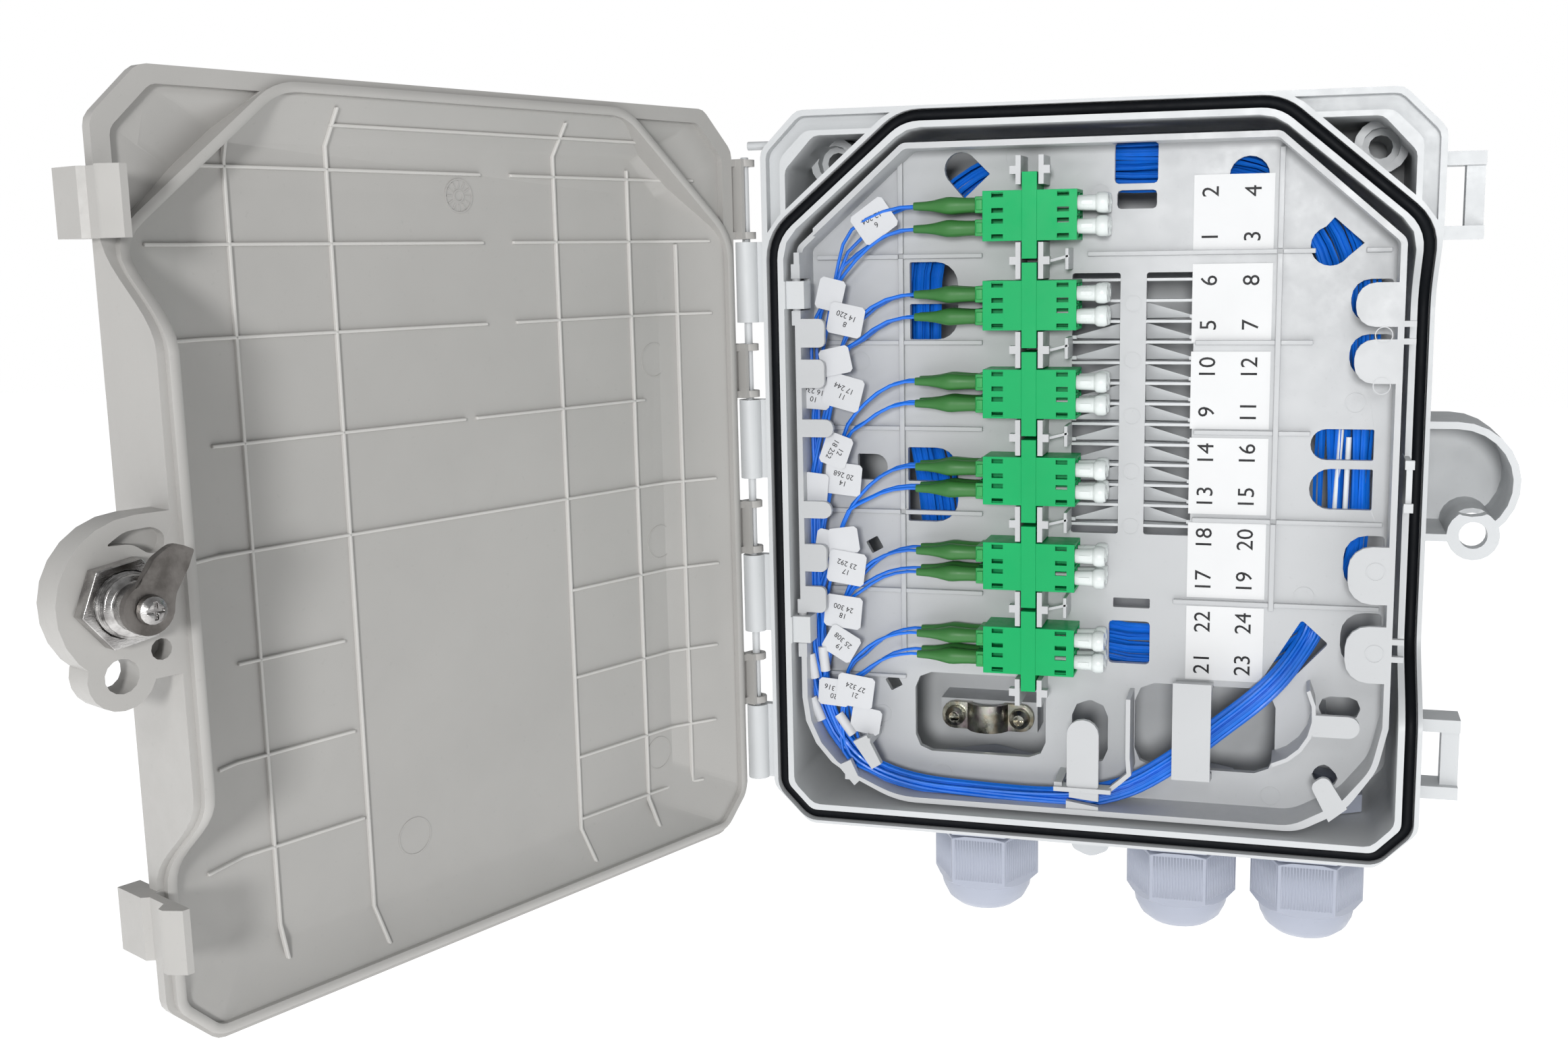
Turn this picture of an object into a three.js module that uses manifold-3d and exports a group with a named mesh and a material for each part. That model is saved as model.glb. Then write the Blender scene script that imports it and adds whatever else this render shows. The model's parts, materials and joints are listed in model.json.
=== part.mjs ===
// Fibre termination box, wall mounted, shown with its door swung open.
// Millimetres. X to the right, Y into the wall, Z up.
// Everything is laid out from the rim plane (Y = 0 there); at the end the whole box is moved forward by
// its depth so that the back face lies on Y = 0 and the open front looks along -Y.
import * as THREE from "three";
import Module from "manifold-3d";
import { mergeVertices } from "three/addons/utils/BufferGeometryUtils.js";

const wasm = await Module();
wasm.setup();

// ---- driving dimensions ----
const HALF_W = 84;            // half width over the rim
const HALF_H = 95.5;          // half height over the rim
const DEPTH = 52;             // rim plane to wall
const CORNER = 10;            // corner chamfer of the rim
const FLOOR = 2.6;            // thickness of the back
const SEAL_X = 81.4;          // gasket centre line, half width
const SEAL_Z = 93.2;          // gasket centre line, half height
const DIP = 17;               // how far the latch side of the mating line drops towards the wall
const DIP_MID = 2.5;          // height of the middle of that drop
const DIP_FLAT = 41;          // half length of its level part
const DIP_RUN = 22;           // length of each S curve
const GAP = 0.3;              // clearance between neighbouring pieces
const HINGE = [-88.4, 0.2];     // door hinge axis x, y
const DOOR_OPEN = 113.7;      // degrees the door stands open at rest
const EAR = [90.5, 0.2, 15.3];    // lock ear: centre x, centre z, radius
const PADLOCK = [95.2, -12.9];    // padlock hole
const LOCK = [94.8, 0.6];         // lock axis
const LOOP_Z = [70.2, -67.1];     // middle heights of the two latch loops
const GLAND_X = [-31, 24.2, 58.1];  // cable glands
const GLAND_Y = 33.6;
const ADAPTER_TOP = 67.8;     // centre height of the top adapter
const PITCH = 22.6;           // adapter pitch
const ADAPTER_X = -14.4;      // middle of the adapter row
const TRAY_AXIS = [-76.2, 4.4];   // tray swing axis x, y
const TRAY_FRONT = 3;
const TRAY_FLOOR = 16;
const TRAY_BACK = 18;

// ---- small helpers ----
const box = (x0, x1, y0, y1, z0, z1) => {
  const g = new THREE.BoxGeometry(x1 - x0, y1 - y0, z1 - z0);
  g.translate((x0 + x1) / 2, (y0 + y1) / 2, (z0 + z1) / 2);
  return g;
};

// closed outline through corner points [x, z, radius], each corner rounded by its radius
function outline(corners, steps = 2) {
  const out = [];
  const n = corners.length;
  for (let i = 0; i < n; i += 1) {
    const [x, z, r = 0] = corners[i];
    const a = corners[(i + n - 1) % n];
    const b = corners[(i + 1) % n];
    const p = new THREE.Vector2(x, z);
    const da = new THREE.Vector2(a[0], a[1]).sub(p).normalize();
    const db = new THREE.Vector2(b[0], b[1]).sub(p).normalize();
    const half = Math.acos(THREE.MathUtils.clamp(da.dot(db), -1, 1)) / 2;
    if (!r || Math.PI / 2 - half < 0.01) {
      out.push(p);
      continue;
    }
    const back = r / Math.tan(half);
    const mid = da.clone().add(db).normalize().multiplyScalar(r / Math.sin(half)).add(p);
    const from = p.clone().addScaledVector(da, back).sub(mid);
    const to = p.clone().addScaledVector(db, back).sub(mid);
    const turn = Math.atan2(from.x * to.y - from.y * to.x, from.dot(to));
    for (let k = 0; k <= steps; k += 1) {
      out.push(from.clone().rotateAround(new THREE.Vector2(), (turn * k) / steps).add(mid));
    }
  }
  return out;
}

// plate with an X-Z outline, from y0 (front) to y1 (back)
function slab(points, y0, y1) {
  const shape = new THREE.Shape(points.map((p) => new THREE.Vector2(p.x ?? p[0], p.y ?? p[1])));
  const g = new THREE.ExtrudeGeometry(shape, { depth: y1 - y0, bevelEnabled: false, curveSegments: 6 });
  g.rotateX(Math.PI / 2);
  g.translate(0, y1, 0);
  return g;
}

// plate with an X-Y outline, from z0 to z1
function plateZ(points, z0, z1) {
  const shape = new THREE.Shape(points.map((p) => new THREE.Vector2(p.x ?? p[0], p.y ?? p[1])));
  const g = new THREE.ExtrudeGeometry(shape, { depth: z1 - z0, bevelEnabled: false });
  g.translate(0, 0, z0);
  return g;
}

// plate with a Y-Z outline, from x0 to x1
function plateX(points, x0, x1) {
  const shape = new THREE.Shape(points.map(([y, z]) => new THREE.Vector2(y, z)));
  const g = new THREE.ExtrudeGeometry(shape, { depth: x1 - x0, bevelEnabled: false });
  g.rotateY(Math.PI / 2);
  g.rotateX(Math.PI / 2);
  g.translate(x0, 0, 0);
  return g;
}

// turned piece: profile of [radius, height] around an axis through (0, 0)
function turned(profile, axis, sides = 16) {
  const g = new THREE.LatheGeometry(profile.map(([r, h]) => new THREE.Vector2(r, h)), sides);
  if (axis === "z") g.rotateX(Math.PI / 2);
  if (axis === "x") g.rotateZ(-Math.PI / 2);
  return g;
}

const rod = (r, h0, h1, axis, sides = 16) => turned([[0, h0], [r, h0], [r, h1], [0, h1]], axis, sides);
const at = (g, x, y, z) => g.translate(x, y, z);
const rodY = (r, x, z, y0, y1, sides = 16) => at(rod(r, y0, y1, "y", sides), x, 0, z);
const rodZ = (r, x, y, z0, z1, sides = 16) => at(rod(r, z0, z1, "z", sides), x, y, 0);

// round cord along a list of [x, y, z] points
function cord(points, r, steps, sides = 8) {
  const path = new THREE.CatmullRomCurve3(points.map((p) => new THREE.Vector3(...p)), false, "centripetal");
  const shape = new THREE.Shape();
  for (let k = 0; k < sides; k += 1) {
    const a = (2 * Math.PI * k) / sides;
    const method = k === 0 ? "moveTo" : "lineTo";
    shape[method](r * Math.cos(a), r * Math.sin(a));
  }
  shape.closePath();
  return new THREE.ExtrudeGeometry(shape, { steps, extrudePath: path, bevelEnabled: false });
}

// closed ring swept along an outline; profile is a list of [inward offset, y], lift(x, z) is added to y
function sweptRing(points, profile, lift = () => 0) {
  const n = points.length;
  const m = profile.length;
  const pos = [];
  const index = [];
  for (let i = 0; i < n; i += 1) {
    const p = points[i];
    const t0 = p.clone().sub(points[(i + n - 1) % n]).normalize();
    const t1 = points[(i + 1) % n].clone().sub(p).normalize();
    const t = t0.add(t1).normalize();
    const lean = 1 / Math.max(0.5, t.dot(t1));
    const inward = new THREE.Vector2(t.y, -t.x).multiplyScalar(lean);
    for (const [off, y] of profile) {
      const q = p.clone().addScaledVector(inward, off);
      pos.push(q.x, y + lift(p.x, p.y), q.y);
    }
  }
  for (let i = 0; i < n; i += 1) {
    for (let k = 0; k < m; k += 1) {
      const a = i * m + k;
      const b = i * m + ((k + 1) % m);
      const c = ((i + 1) % n) * m + ((k + 1) % m);
      const d = ((i + 1) % n) * m + k;
      index.push(a, c, b, a, d, c);
    }
  }
  const g = new THREE.BufferGeometry();
  g.setAttribute("position", new THREE.Float32BufferAttribute(pos, 3));
  g.setIndex(index);
  return g;
}

// solid between two outlines of the same point count, front one at y0, back one at y1
function taper(front, y0, back, y1) {
  const n = front.length;
  const pos = [];
  for (const p of front) pos.push(p.x, y0, p.y);
  for (const p of back) pos.push(p.x, y1, p.y);
  const index = [];
  for (let i = 0; i < n; i += 1) {
    const j = (i + 1) % n;
    index.push(i, n + j, j, i, n + i, n + j);
  }
  for (let i = 1; i < n - 1; i += 1) {
    index.push(0, i, i + 1, n, n + i + 1, n + i);
  }
  const g = new THREE.BufferGeometry();
  g.setAttribute("position", new THREE.Float32BufferAttribute(pos, 3));
  g.setIndex(index);
  return g;
}

function solid(g) {
  g.deleteAttribute("normal");
  g.deleteAttribute("uv");
  const merged = mergeVertices(g, 1e-4);
  const tri = new Uint32Array(merged.index.array);
  const pos = merged.attributes.position.array;
  let volume = 0;
  const v = (i) => new THREE.Vector3(pos[3 * i], pos[3 * i + 1], pos[3 * i + 2]);
  for (let i = 0; i < tri.length; i += 3) {
    volume += v(tri[i]).dot(v(tri[i + 1]).cross(v(tri[i + 2])));
  }
  if (volume < 0) {
    for (let i = 0; i < tri.length; i += 3) {
      [tri[i], tri[i + 1]] = [tri[i + 1], tri[i]];
    }
  }
  return new wasm.Manifold(new wasm.Mesh({
    numProp: 3,
    vertProperties: new Float32Array(pos),
    triVerts: tri,
  }));
}

const all = (list) => list.map(solid).reduce((a, b) => a.add(b));

function geometry(manifold) {
  const mesh = manifold.getMesh();
  const g = new THREE.BufferGeometry();
  g.setAttribute("position", new THREE.Float32BufferAttribute(mesh.vertProperties, 3));
  g.setIndex(Array.from(mesh.triVerts));
  const flat = g.toNonIndexed();
  flat.computeVertexNormals();
  return flat;
}

// ---- materials ----
const paint = (color, roughness, metalness = 0) => (
  new THREE.MeshStandardMaterial({ color, roughness, metalness }));
const housing = paint(0xc6c8c9, 0.5);
const doorGrey = paint(0xbdbcba, 0.45);
const trayGrey = paint(0xcbcccf, 0.45);
const rubber = paint(0x15161a, 0.8);
const glandGrey = paint(0xbcc8d4, 0.4);
const chrome = paint(0xb8b8ba, 0.2, 1);
const zinc = paint(0xa8a49a, 0.35, 1);
const green = paint(0x28a860, 0.4);
const bootGreen = paint(0x4a8a3c, 0.5);
const clear = paint(0xe6eaea, 0.3);
const blue = paint(0x1464d8, 0.4);

const root = new THREE.Group();
root.position.y = -DEPTH;
const doorGroup = new THREE.Group();
doorGroup.position.set(HINGE[0], HINGE[1], 0);
doorGroup.rotation.z = THREE.MathUtils.degToRad(-DOOR_OPEN);
root.add(doorGroup);
const doorFrame = new THREE.Group();
doorFrame.position.set(-HINGE[0], -HINGE[1], 0);
doorGroup.add(doorFrame);

function add(name, shape, material, parent = root) {
  const mesh = new THREE.Mesh(shape.isBufferGeometry ? shape : geometry(shape), material);
  mesh.name = name;
  parent.add(mesh);
}

// ---- the mating line between box and door ----
const rimCorners = (inset, r, cut = CORNER) => {
  const x = HALF_W - inset;
  const z = HALF_H - inset;
  const c = cut - inset * 0.586;
  return [
    [-x, -z + c, r], [-x + c, -z, r], [x - c, -z, r], [x, -z + c, r],
    [x, z - c, r], [x - c, z, r], [-x + c, z, r], [-x, z - c, r],
  ].reverse();
};

// depth of the dropped part of the rim at height z
function drop(z) {
  const t = (Math.abs(z - DIP_MID) - DIP_FLAT) / DIP_RUN;
  if (t >= 1) return 0;
  if (t <= 0) return DIP;
  return (DIP * (1 + Math.cos(Math.PI * t))) / 2;
}
const dropAt = (x, z) => (x > HALF_W - 13 ? drop(z) : 0);
const dropHeights = [];
for (let k = 0; k <= 10; k += 1) dropHeights.push(DIP_MID + DIP_FLAT + DIP_RUN * (1 - k / 10));
for (let k = 0; k <= 10; k += 1) dropHeights.push(DIP_MID - DIP_FLAT - (DIP_RUN * k) / 10);

// gasket centre line: wide diagonals across the top corners, small ones at the bottom;
// runs clockwise seen from the front and has extra points along the dropped side
function sealLine() {
  const top = outline([
    [-SEAL_X, 63.6, 13], [-46.5, SEAL_Z, 13], [46.5, SEAL_Z, 13], [SEAL_X, 63.6, 13],
    [SEAL_X, -85.5, 5], [74, -SEAL_Z, 5], [-74, -SEAL_Z, 5], [-SEAL_X, -85.5, 5],
  ], 5);
  const out = [];
  for (let i = 0; i < top.length; i += 1) {
    out.push(top[i]);
    const next = top[(i + 1) % top.length];
    const long = top[i].x > SEAL_X - 0.01 && next.x > SEAL_X - 0.01 && top[i].y - next.y > 60;
    if (!long) continue;
    for (const z of dropHeights) {
      if (z < top[i].y - 0.5 && z > next.y + 0.5) out.push(new THREE.Vector2(SEAL_X, z));
    }
  }
  return out;
}
const seal = sealLine();
// the same line moved inwards by d, as a plain outline
function sealInset(d, r = 10) {
  const x = SEAL_X - d;
  const z = SEAL_Z - d;
  return outline([
    [-x, 63.6 - d * 0.37, r], [-46.5 + d * 0.43, z, r], [46.5 - d * 0.43, z, r], [x, 63.6 - d * 0.37, r],
    [x, -85.5 + d * 0.4, 4], [74 - d * 0.4, -z, 4], [-74 + d * 0.4, -z, 4], [-x, -85.5 + d * 0.4, 4],
  ]);
}

// ---- base ----
const rimOuter = outline(rimCorners(0, 4));
const bodyOuter = outline(rimCorners(3.2, 4));
const dropCut = () => {
  const pts = [[-6, DIP_MID + DIP_FLAT + DIP_RUN], [-6, DIP_MID - DIP_FLAT - DIP_RUN]];
  for (const z of [...dropHeights].reverse()) pts.push([drop(z), z]);
  return plateX(pts, HALF_W - 13, HALF_W + 3);
};

// outline of the D-shaped lock ear
const earShape = (grow, left) => {
  const [cx, cz, r0] = EAR;
  const r = r0 + grow;
  const pts = [[left, cz + r]];
  for (let k = 0; k <= 12; k += 1) {
    const a = THREE.MathUtils.degToRad(90 - 14.2 * k);
    pts.push([cx + r * Math.cos(a), cz + r * Math.sin(a)]);
  }
  pts.push([left, cz - r]);
  return pts;
};

let base = all([
  slab(rimOuter, 0, 8),
  slab(bodyOuter, 1, DEPTH),
  box(HALF_W - 6, HALF_W, 2, 26, -62, 67),
]);
// sealed inside
base = base.subtract(solid(slab(sealInset(3.1), -1, DEPTH - FLOOR)));
// corner pockets outside the gasket, each with a screw boss
const pocketCorners = outline([[77.4, 40, 0], [77.4, 80.5, 3], [69.5, 89, 3], [30, 89, 0]]);
const pocketBlock = solid(slab(sealInset(-2.8, 14), -2, DEPTH));
const mirrorX = (g) => {
  const m = g.clone();
  m.scale(-1, 1, 1);
  return m;
};
const pocket = slab(pocketCorners, -1, DEPTH - FLOOR);
const strip = solid(slab(outline(rimCorners(1.5, 3.4)), -1, 3.2))
  .subtract(solid(slab(outline(rimCorners(5.2, 3.4)), -2, 4)))
  .subtract(pocketBlock)
  .subtract(solid(box(-100, 100, -3, 5, -100, 20)));
for (const side of [pocket, mirrorX(pocket)]) {
  base = base.subtract(solid(side).subtract(pocketBlock));
}
base = base.subtract(strip);
for (const x of [-69.6, 70.2]) {
  base = base.add(solid(rodY(6.6, x, 83, 20, DEPTH - 1, 16)));
  base = base.subtract(solid(rodY(2.9, x, 83, 10, DEPTH - 1.2, 12)));
  base = base.subtract(solid(rodY(4.6, x, 83, 10, 24, 12)));
}
const earClip = solid(box(60, 120, -20, 80, -14.6, 40));
base = base.add(solid(slab(earShape(0, 80.4), DIP, 44)).intersect(earClip));
base = base.add(solid(rodY(6.3, PADLOCK[0], PADLOCK[1], DIP, 44, 20)));
const earRoom = solid(slab(earShape(-1.8, 80.9), DIP - 1, 41.5))
  .intersect(solid(box(60, 120, -20, 80, -12.8, 40)))
  .subtract(solid(box(70, 84, 0, 26, -40, 40)))
  .subtract(solid(rodY(6.3, PADLOCK[0], PADLOCK[1], 0, 60, 20)));
base = base.subtract(earRoom);
const eyeRoom = solid(rodY(5.1, PADLOCK[0], PADLOCK[1], DIP + 4.4, 60, 20))
  .add(solid(rodY(7, PADLOCK[0], PADLOCK[1], DIP + 4.4, 60, 20))
    .subtract(solid(slab(earShape(0, 60), 10, 60))));
base = base.subtract(solid(rodY(3.4, PADLOCK[0], PADLOCK[1], 0, 60, 20))).subtract(eyeRoom);

base = base.subtract(solid(dropCut()));
// gasket groove
base = base.subtract(solid(sweptRing(seal, [[-1.5, -3], [-1.5, 5], [1.5, 5], [1.5, -3]], dropAt)));

// latch loops
for (const mid of LOOP_Z) {
  base = base.add(all([
    box(83, 93, 3, 12, mid + 7.0, mid + 10.2),
    box(83, 93, 3, 12, mid - 10.2, mid - 7.0),
    slab(outline([[88.8, mid - 8, 0], [93, mid - 8, 0], [93, mid + 8, 0], [88.8, mid + 8, 0]]), 5, 10),
  ]));
}
// hinge barrels on the left edge, bored for the pin
const barrels = [[41.4, 62.3], [0, 21], [-41.9, -20.9], [-83.3, -62.6]];
for (const [z0, z1] of barrels) {
  base = base.add(all([
    rodZ(2.9, HINGE[0], HINGE[1], z0, z1, 14),
    box(HINGE[0], -83, 0.6, 3.1, z0, z1),
  ]));
}
base = base.subtract(solid(rodZ(1.6, HINGE[0], HINGE[1], -100, 100, 8)));
base = base.add(solid(at(rod(1.1, -88, -82, "x", 10), 0, 2.4, 87)));
// bottom wall: gland bores, bottom mounting tab
for (const x of GLAND_X) {
  base = base.subtract(solid(rodZ(10.4, x, GLAND_Y, -100, -80, 20)));
}
const tab = outline([
  [-10, -90, 0], [4, -90, 0], [4, -110, 0], [1.9, -115.4, 2], [-3, -117.6, 4], [-7.9, -115.4, 2],
  [-10, -110, 0],
].reverse());
base = base.add(solid(slab(tab, DEPTH - 3.2, DEPTH)));
base = base.subtract(solid(rodY(2.4, -3, -109.6, 30, 60, 16)));
// cable anchor ledge and tray supports on the floor
base = base.add(all([
  box(-45, -17, 38, DEPTH - 1, -77.5, -68.6),
  box(-62, -57, 20.4, DEPTH - 1, 66, 71),
  box(57, 62, 20.4, DEPTH - 1, -71, -66),
]));
for (const x of [-40.4, -21.8]) {
  base = base.subtract(solid(rodY(1.5, x, -73, 37, 45, 12)));
}
// tray hinge blocks on the left inner lip and the tray catch on the right wall
for (const z of [48.4, -41.5]) {
  base = base.add(all([
    box(-79.6, -78, 0, 12, z - 3.6, z + 3.6),
    box(-79.6, -73.2, 1.2, 7.4, z - 3.6, z + 3.6),
  ]));
  base = base.subtract(solid(rodZ(1.4, TRAY_AXIS[0], TRAY_AXIS[1], z - 9, z + 9, 12)));
}
base = base.add(all([
  box(78, 79.4, 3.4, 22, -5, 6.8),
  box(77.6, 79.8, 2.4, 3.6, 5.2, 7.4),
  box(77.6, 79.8, 2.4, 3.6, -5.4, -3.2),
]));
base = base.subtract(solid(rodY(8.8, LOCK[0], LOCK[1], 15, 21.4, 24)));
add("base_shell", base, housing);
add("gasket", sweptRing(seal, [[-1.2, 1.9], [-1.2, 4.7], [1.2, 4.7], [1.2, 1.9], [0, 1.6]], dropAt), rubber);
add("hinge_pin", rodZ(1.1, HINGE[0], HINGE[1], -84, 84, 8), chrome);

// ---- door, drawn closed ----
const doorRim = outline(rimCorners(0, 4));
const face = (x, z, c) => outline([
  [-x, z - c, 3], [-x + c, z, 3], [x - c, z, 3], [x, z - c, 3],
  [x, -z + c, 3], [x - c, -z, 3], [-x + c, -z, 3], [-x, -z + c, 3],
]);
let door = all([
  slab(doorRim, -3, -GAP),
  taper(face(66, 86, 9), -9, face(83.4, 94.9, 9.6), -2.9),
  plateX([[-2.8, 68], [-2.8, -64]].concat(
    [...dropHeights].reverse().map((z) => [Math.max(drop(z) - GAP, -GAP), z])), 80, HALF_W),
]);
const doorHull = door;
door = door.subtract(solid(taper(face(62, 82.5, 8), -6.6, face(80.4, 92, 8.5), 0)));
const tongue = [[-1, -2.9], [-1, 1], [-0.4, 1.3], [0.4, 1.3], [1, 1], [1, -2.9]];
door = door.add(solid(sweptRing(seal, tongue, dropAt)));
// gasket tongue walls that cross the two upper corners reach down to the inner face
const cornerWall = solid(sweptRing(seal, [[-1, -7.5], [-1, 0], [1, 0], [1, -7.5]]))
  .intersect(solid(box(-100, 100, -8.5, 5, 55, 120)));
door = door.add(cornerWall.intersect(doorHull));
// shallow pockets outside those walls, inside the rim
const corners = solid(slab(face(80.4, 92, 8.5), -2, 1)).intersect(solid(box(-100, 100, -5, 5, 45, 120)))
  .subtract(solid(slab(seal, -5, 5)))
  .subtract(solid(sweptRing(seal, [[-1.2, -5], [-1.2, 5], [1.2, 5], [1.2, -5]])));
door = door.subtract(corners);
// hinge lugs, in pairs along the left edge
for (const [z0, z1] of [[63.0, 83.5], [21.6, 35.9], [-20.3, -6], [-62.1, -48]]) {
  for (const z of [z0 + 1, z1 - 1]) {
    door = door.add(all([
      rodZ(2.6, HINGE[0], HINGE[1], z - 0.9, z + 0.9, 10),
      box(HINGE[0], -82.5, -2.4, -GAP, z - 0.9, z + 0.9),
    ]));
  }
  door = door.add(all([
    box(-86.4, -83, -2.6, -1.2, z0, z1),
    box(-86.4, -85.3, -2.6, 1.8, z0, z1),
  ]));
}
door = door.subtract(solid(rodZ(1.6, HINGE[0], HINGE[1], -100, 100, 8)));
// snap hooks
for (const mid of LOOP_Z) {
  const hook = [[83, -8.5], [87.6, -8.5], [87.6, 0.5], [86.4, 1.6], [86.4, 6.8], [88.3, 8.4], [88.3, 9.8],
    [86, 13], [84.6, 13], [84.6, 0.2], [83, -0.4]];
  door = door.add(solid(plateZ(hook, mid - 6.4, mid + 6.4)));
}
// lock ear with padlock lobe, lock bore, blind hole and crescent recess
const doorEar = solid(slab(earShape(0, 81), 9.8, DIP - GAP)).intersect(earClip)
  .add(solid(rodY(6.3, PADLOCK[0], PADLOCK[1], 9.8, DIP - GAP, 20)));
door = door.add(doorEar);
door = door.subtract(solid(rodY(3.2, PADLOCK[0], PADLOCK[1], 0, 30, 14)));
door = door.subtract(solid(rodY(6, LOCK[0], LOCK[1], 0, 30, 16)));
door = door.subtract(solid(rodY(2, 87.6, -9.4, 12, 30, 12)));
const crescent = solid(slab(outline([
  [96.2, 10.6, 0.2], [92.6, 12.8, 5], [87.4, 13, 3.2], [85.2, 11.4, 1.8], [85.8, 8.1, 1.6], [88.6, 8.3, 2],
  [91.4, 10.4, 4],
], 3), 14.2, 30));
door = door.subtract(crescent);
add("door_shell", door, doorGrey, doorFrame);

// quarter-turn lock
const lockAxis = (g) => at(g, LOCK[0], 0, LOCK[1]);
add("lock_barrel", solid(lockAxis(turned([
  [0, 6.6], [8.4, 6.6], [8.4, 9.5], [5.6, 9.5], [5.6, 22.6], [4.3, 23.2], [4.3, 25.8], [0, 25.8],
], "y", 20))), chrome, doorFrame);
const hexY = (flats, y0, y1, turn = 0) => {
  const g = new THREE.CylinderGeometry(flats / Math.sqrt(3), flats / Math.sqrt(3), y1 - y0, 6);
  g.rotateY(turn);
  g.translate(0, (y0 + y1) / 2, 0);
  return g;
};
add("lock_nut", solid(lockAxis(hexY(14.4, DIP, DIP + 3.4, Math.PI / 2 + 0.14)))
  .subtract(solid(lockAxis(rod(6, 0, 40, "y", 20)))), chrome, doorFrame);
// cam lever: a round hub with a curved leaf, pointing up towards the hinge side
const leaf = outline([
  [-4.4, -0.8, 0], [1.6, 4.2, 0], [-1.4, 8.6, 3], [-5.4, 11, 3], [-8.9, 9.2, 0.4], [-7.6, 6.2, 3], [-5, 2, 3],
], 3);
const lever = all([rod(4.6, 26.1, 27.8, "y", 24), slab(leaf, 26.1, 27.8)])
  .subtract(solid(rod(1.9, 20, 50, "y", 12)));
add("cam_lever", lever.translate([LOCK[0], 0, LOCK[1]]), chrome, doorFrame);
const screwHead = (r, y0, h) => [[0, y0 - h], [r * 0.55, y0 - h], [r * 0.9, y0 - h * 0.55], [r, y0], [0, y0]];
const camScrew = solid(turned([
  [0, 26], [1.6, 26], [1.6, 28.1], [2.7, 28.1], [2.5, 29.2], [1.5, 30], [0, 30],
], "y", 16))
  .subtract(solid(box(-1.6, 1.6, 29.4, 32, -0.35, 0.35)))
  .subtract(solid(box(-0.35, 0.35, 29.4, 32, -1.6, 1.6)));
add("cam_screw", camScrew.translate([LOCK[0], 0, LOCK[1]]), chrome, doorFrame);

// ---- swing tray ----
const trayOutline = (d) => outline([
  [-76.4 + d, 60.8 - d * 0.4, 3], [-47 + d * 0.4, 86.6 - d, 3], [46.6 - d * 0.4, 86.6 - d, 3],
  [76.2 - d, 60.4 - d * 0.4, 3], [76.2 - d, -60, 0], [73.8 - d, -71, 14], [66.5 - d, -82 + d, 14],
  [55 - d, -88.6 + d, 12], [-50, -88.6 + d, 24], [-76.4 + d, -76, 24],
].map(([x, z, r]) => [x, z, Math.max(0, r - d * 0.5)]), 4);
const T = TRAY_FLOOR;
let tray = solid(slab(trayOutline(0), TRAY_FRONT, TRAY_BACK))
  .subtract(solid(slab(trayOutline(1.5), TRAY_FRONT - 1, TRAY_FLOOR)));
// room for the base's hinge blocks, and for the corner by the hinge to swing past the box's inner lip
for (const z of [48.4, -41.5]) {
  tray = tray.subtract(solid(box(-80, -72.6, 0, 12, z - 4.2, z + 4.2)));
}
tray = tray.subtract(solid(box(-80, -71, 0, 6, 59.4, 68)));
const hole = (points, r = 1.5) => solid(slab(outline(points.map(([x, z]) => [x, z, r])), 8, 24));
const win = (x0, x1, z0, z1, r = 1) => hole([[x0, z0], [x0, z1], [x1, z1], [x1, z0]], r);
const cutTray = (h) => {
  tray = tray.subtract(h);
};
// windows in the tray floor
cutTray(win(5.6, 16.5, 75.4, 86.0));
cutTray(win(6.3, 16.3, 69.1, 73.8));
cutTray(win(5.3, 16.1, -50, -38.4));
cutTray(win(6.4, 16.0, -34.8, -32.2, 0.3));
cutTray(solid(rodY(4.4, -34.2, 80.2, 8, 24, 20)).add(solid(slab([
  new THREE.Vector2(-37.2, 77), new THREE.Vector2(-31.4, 83.6),
  new THREE.Vector2(-26.6, 78.8), new THREE.Vector2(-33.4, 72.6),
].reverse(), 8, 24))));
cutTray(solid(rodY(4.9, 39, 76.6, 8, 24, 20)));
cutTray(solid(rodY(4.9, 59, 59, 8, 24, 20)).add(solid(slab([
  new THREE.Vector2(54.3, 60), new THREE.Vector2(59.7, 66),
  new THREE.Vector2(66.9, 59.6), new THREE.Vector2(61.6, 55),
].reverse(), 8, 24))));
// D-shaped windows: x of the square side, x of the round side, bottom, top, radius bottom, radius top
for (const [square, round, z0, z1, low, high] of [
  [-48.2, -35.1, 47, 56.4, 0.3, 6], [-48.2, -35.1, 36, 45.4, 5.6, 0.3],
  [-49.1, -35.3, -2.2, 7, 0.3, 6], [-49.1, -35.3, -13.2, -3.4, 6, 0.3],
  [70.8, 55.5, 5.5, 13.4, 3.9, 3.9], [70.8, 55.5, -7.1, 3.3, 5.1, 5.1],
  [-63.2, -54.8, -2.1, 5, 3.4, 3.4],
]) {
  const turn = [[square, z0, 0.4], [square, z1, 0.4], [round, z1, high], [round, z0, low]];
  cutTray(solid(slab(outline(square < round ? turn : turn.reverse(), 5), 8, 24)));
}
cutTray(hole([[45.8, -51.3], [54.7, -36.1], [61.4, -42.2], [49.9, -55.0]], 0.6));
cutTray(win(-47.6, -11.4, -77.8, -55.3, 4.5));
cutTray(win(12.5, 48.8, -78, -55, 5));
cutTray(hole([[-59.4, -22.6], [-61.2, -19.4], [-58.0, -17.6], [-56.2, -20.8]], 0.3));
cutTray(hole([[-54.4, -61.2], [-56.2, -58], [-53.0, -56.2], [-51.2, -59.4]], 0.3));
// splice comb: two rows of thin fins on a central spine
cutTray(win(-5, 7.4, -15, 53, 0.6));
cutTray(win(14, 26, -15, 53, 0.6));
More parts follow.
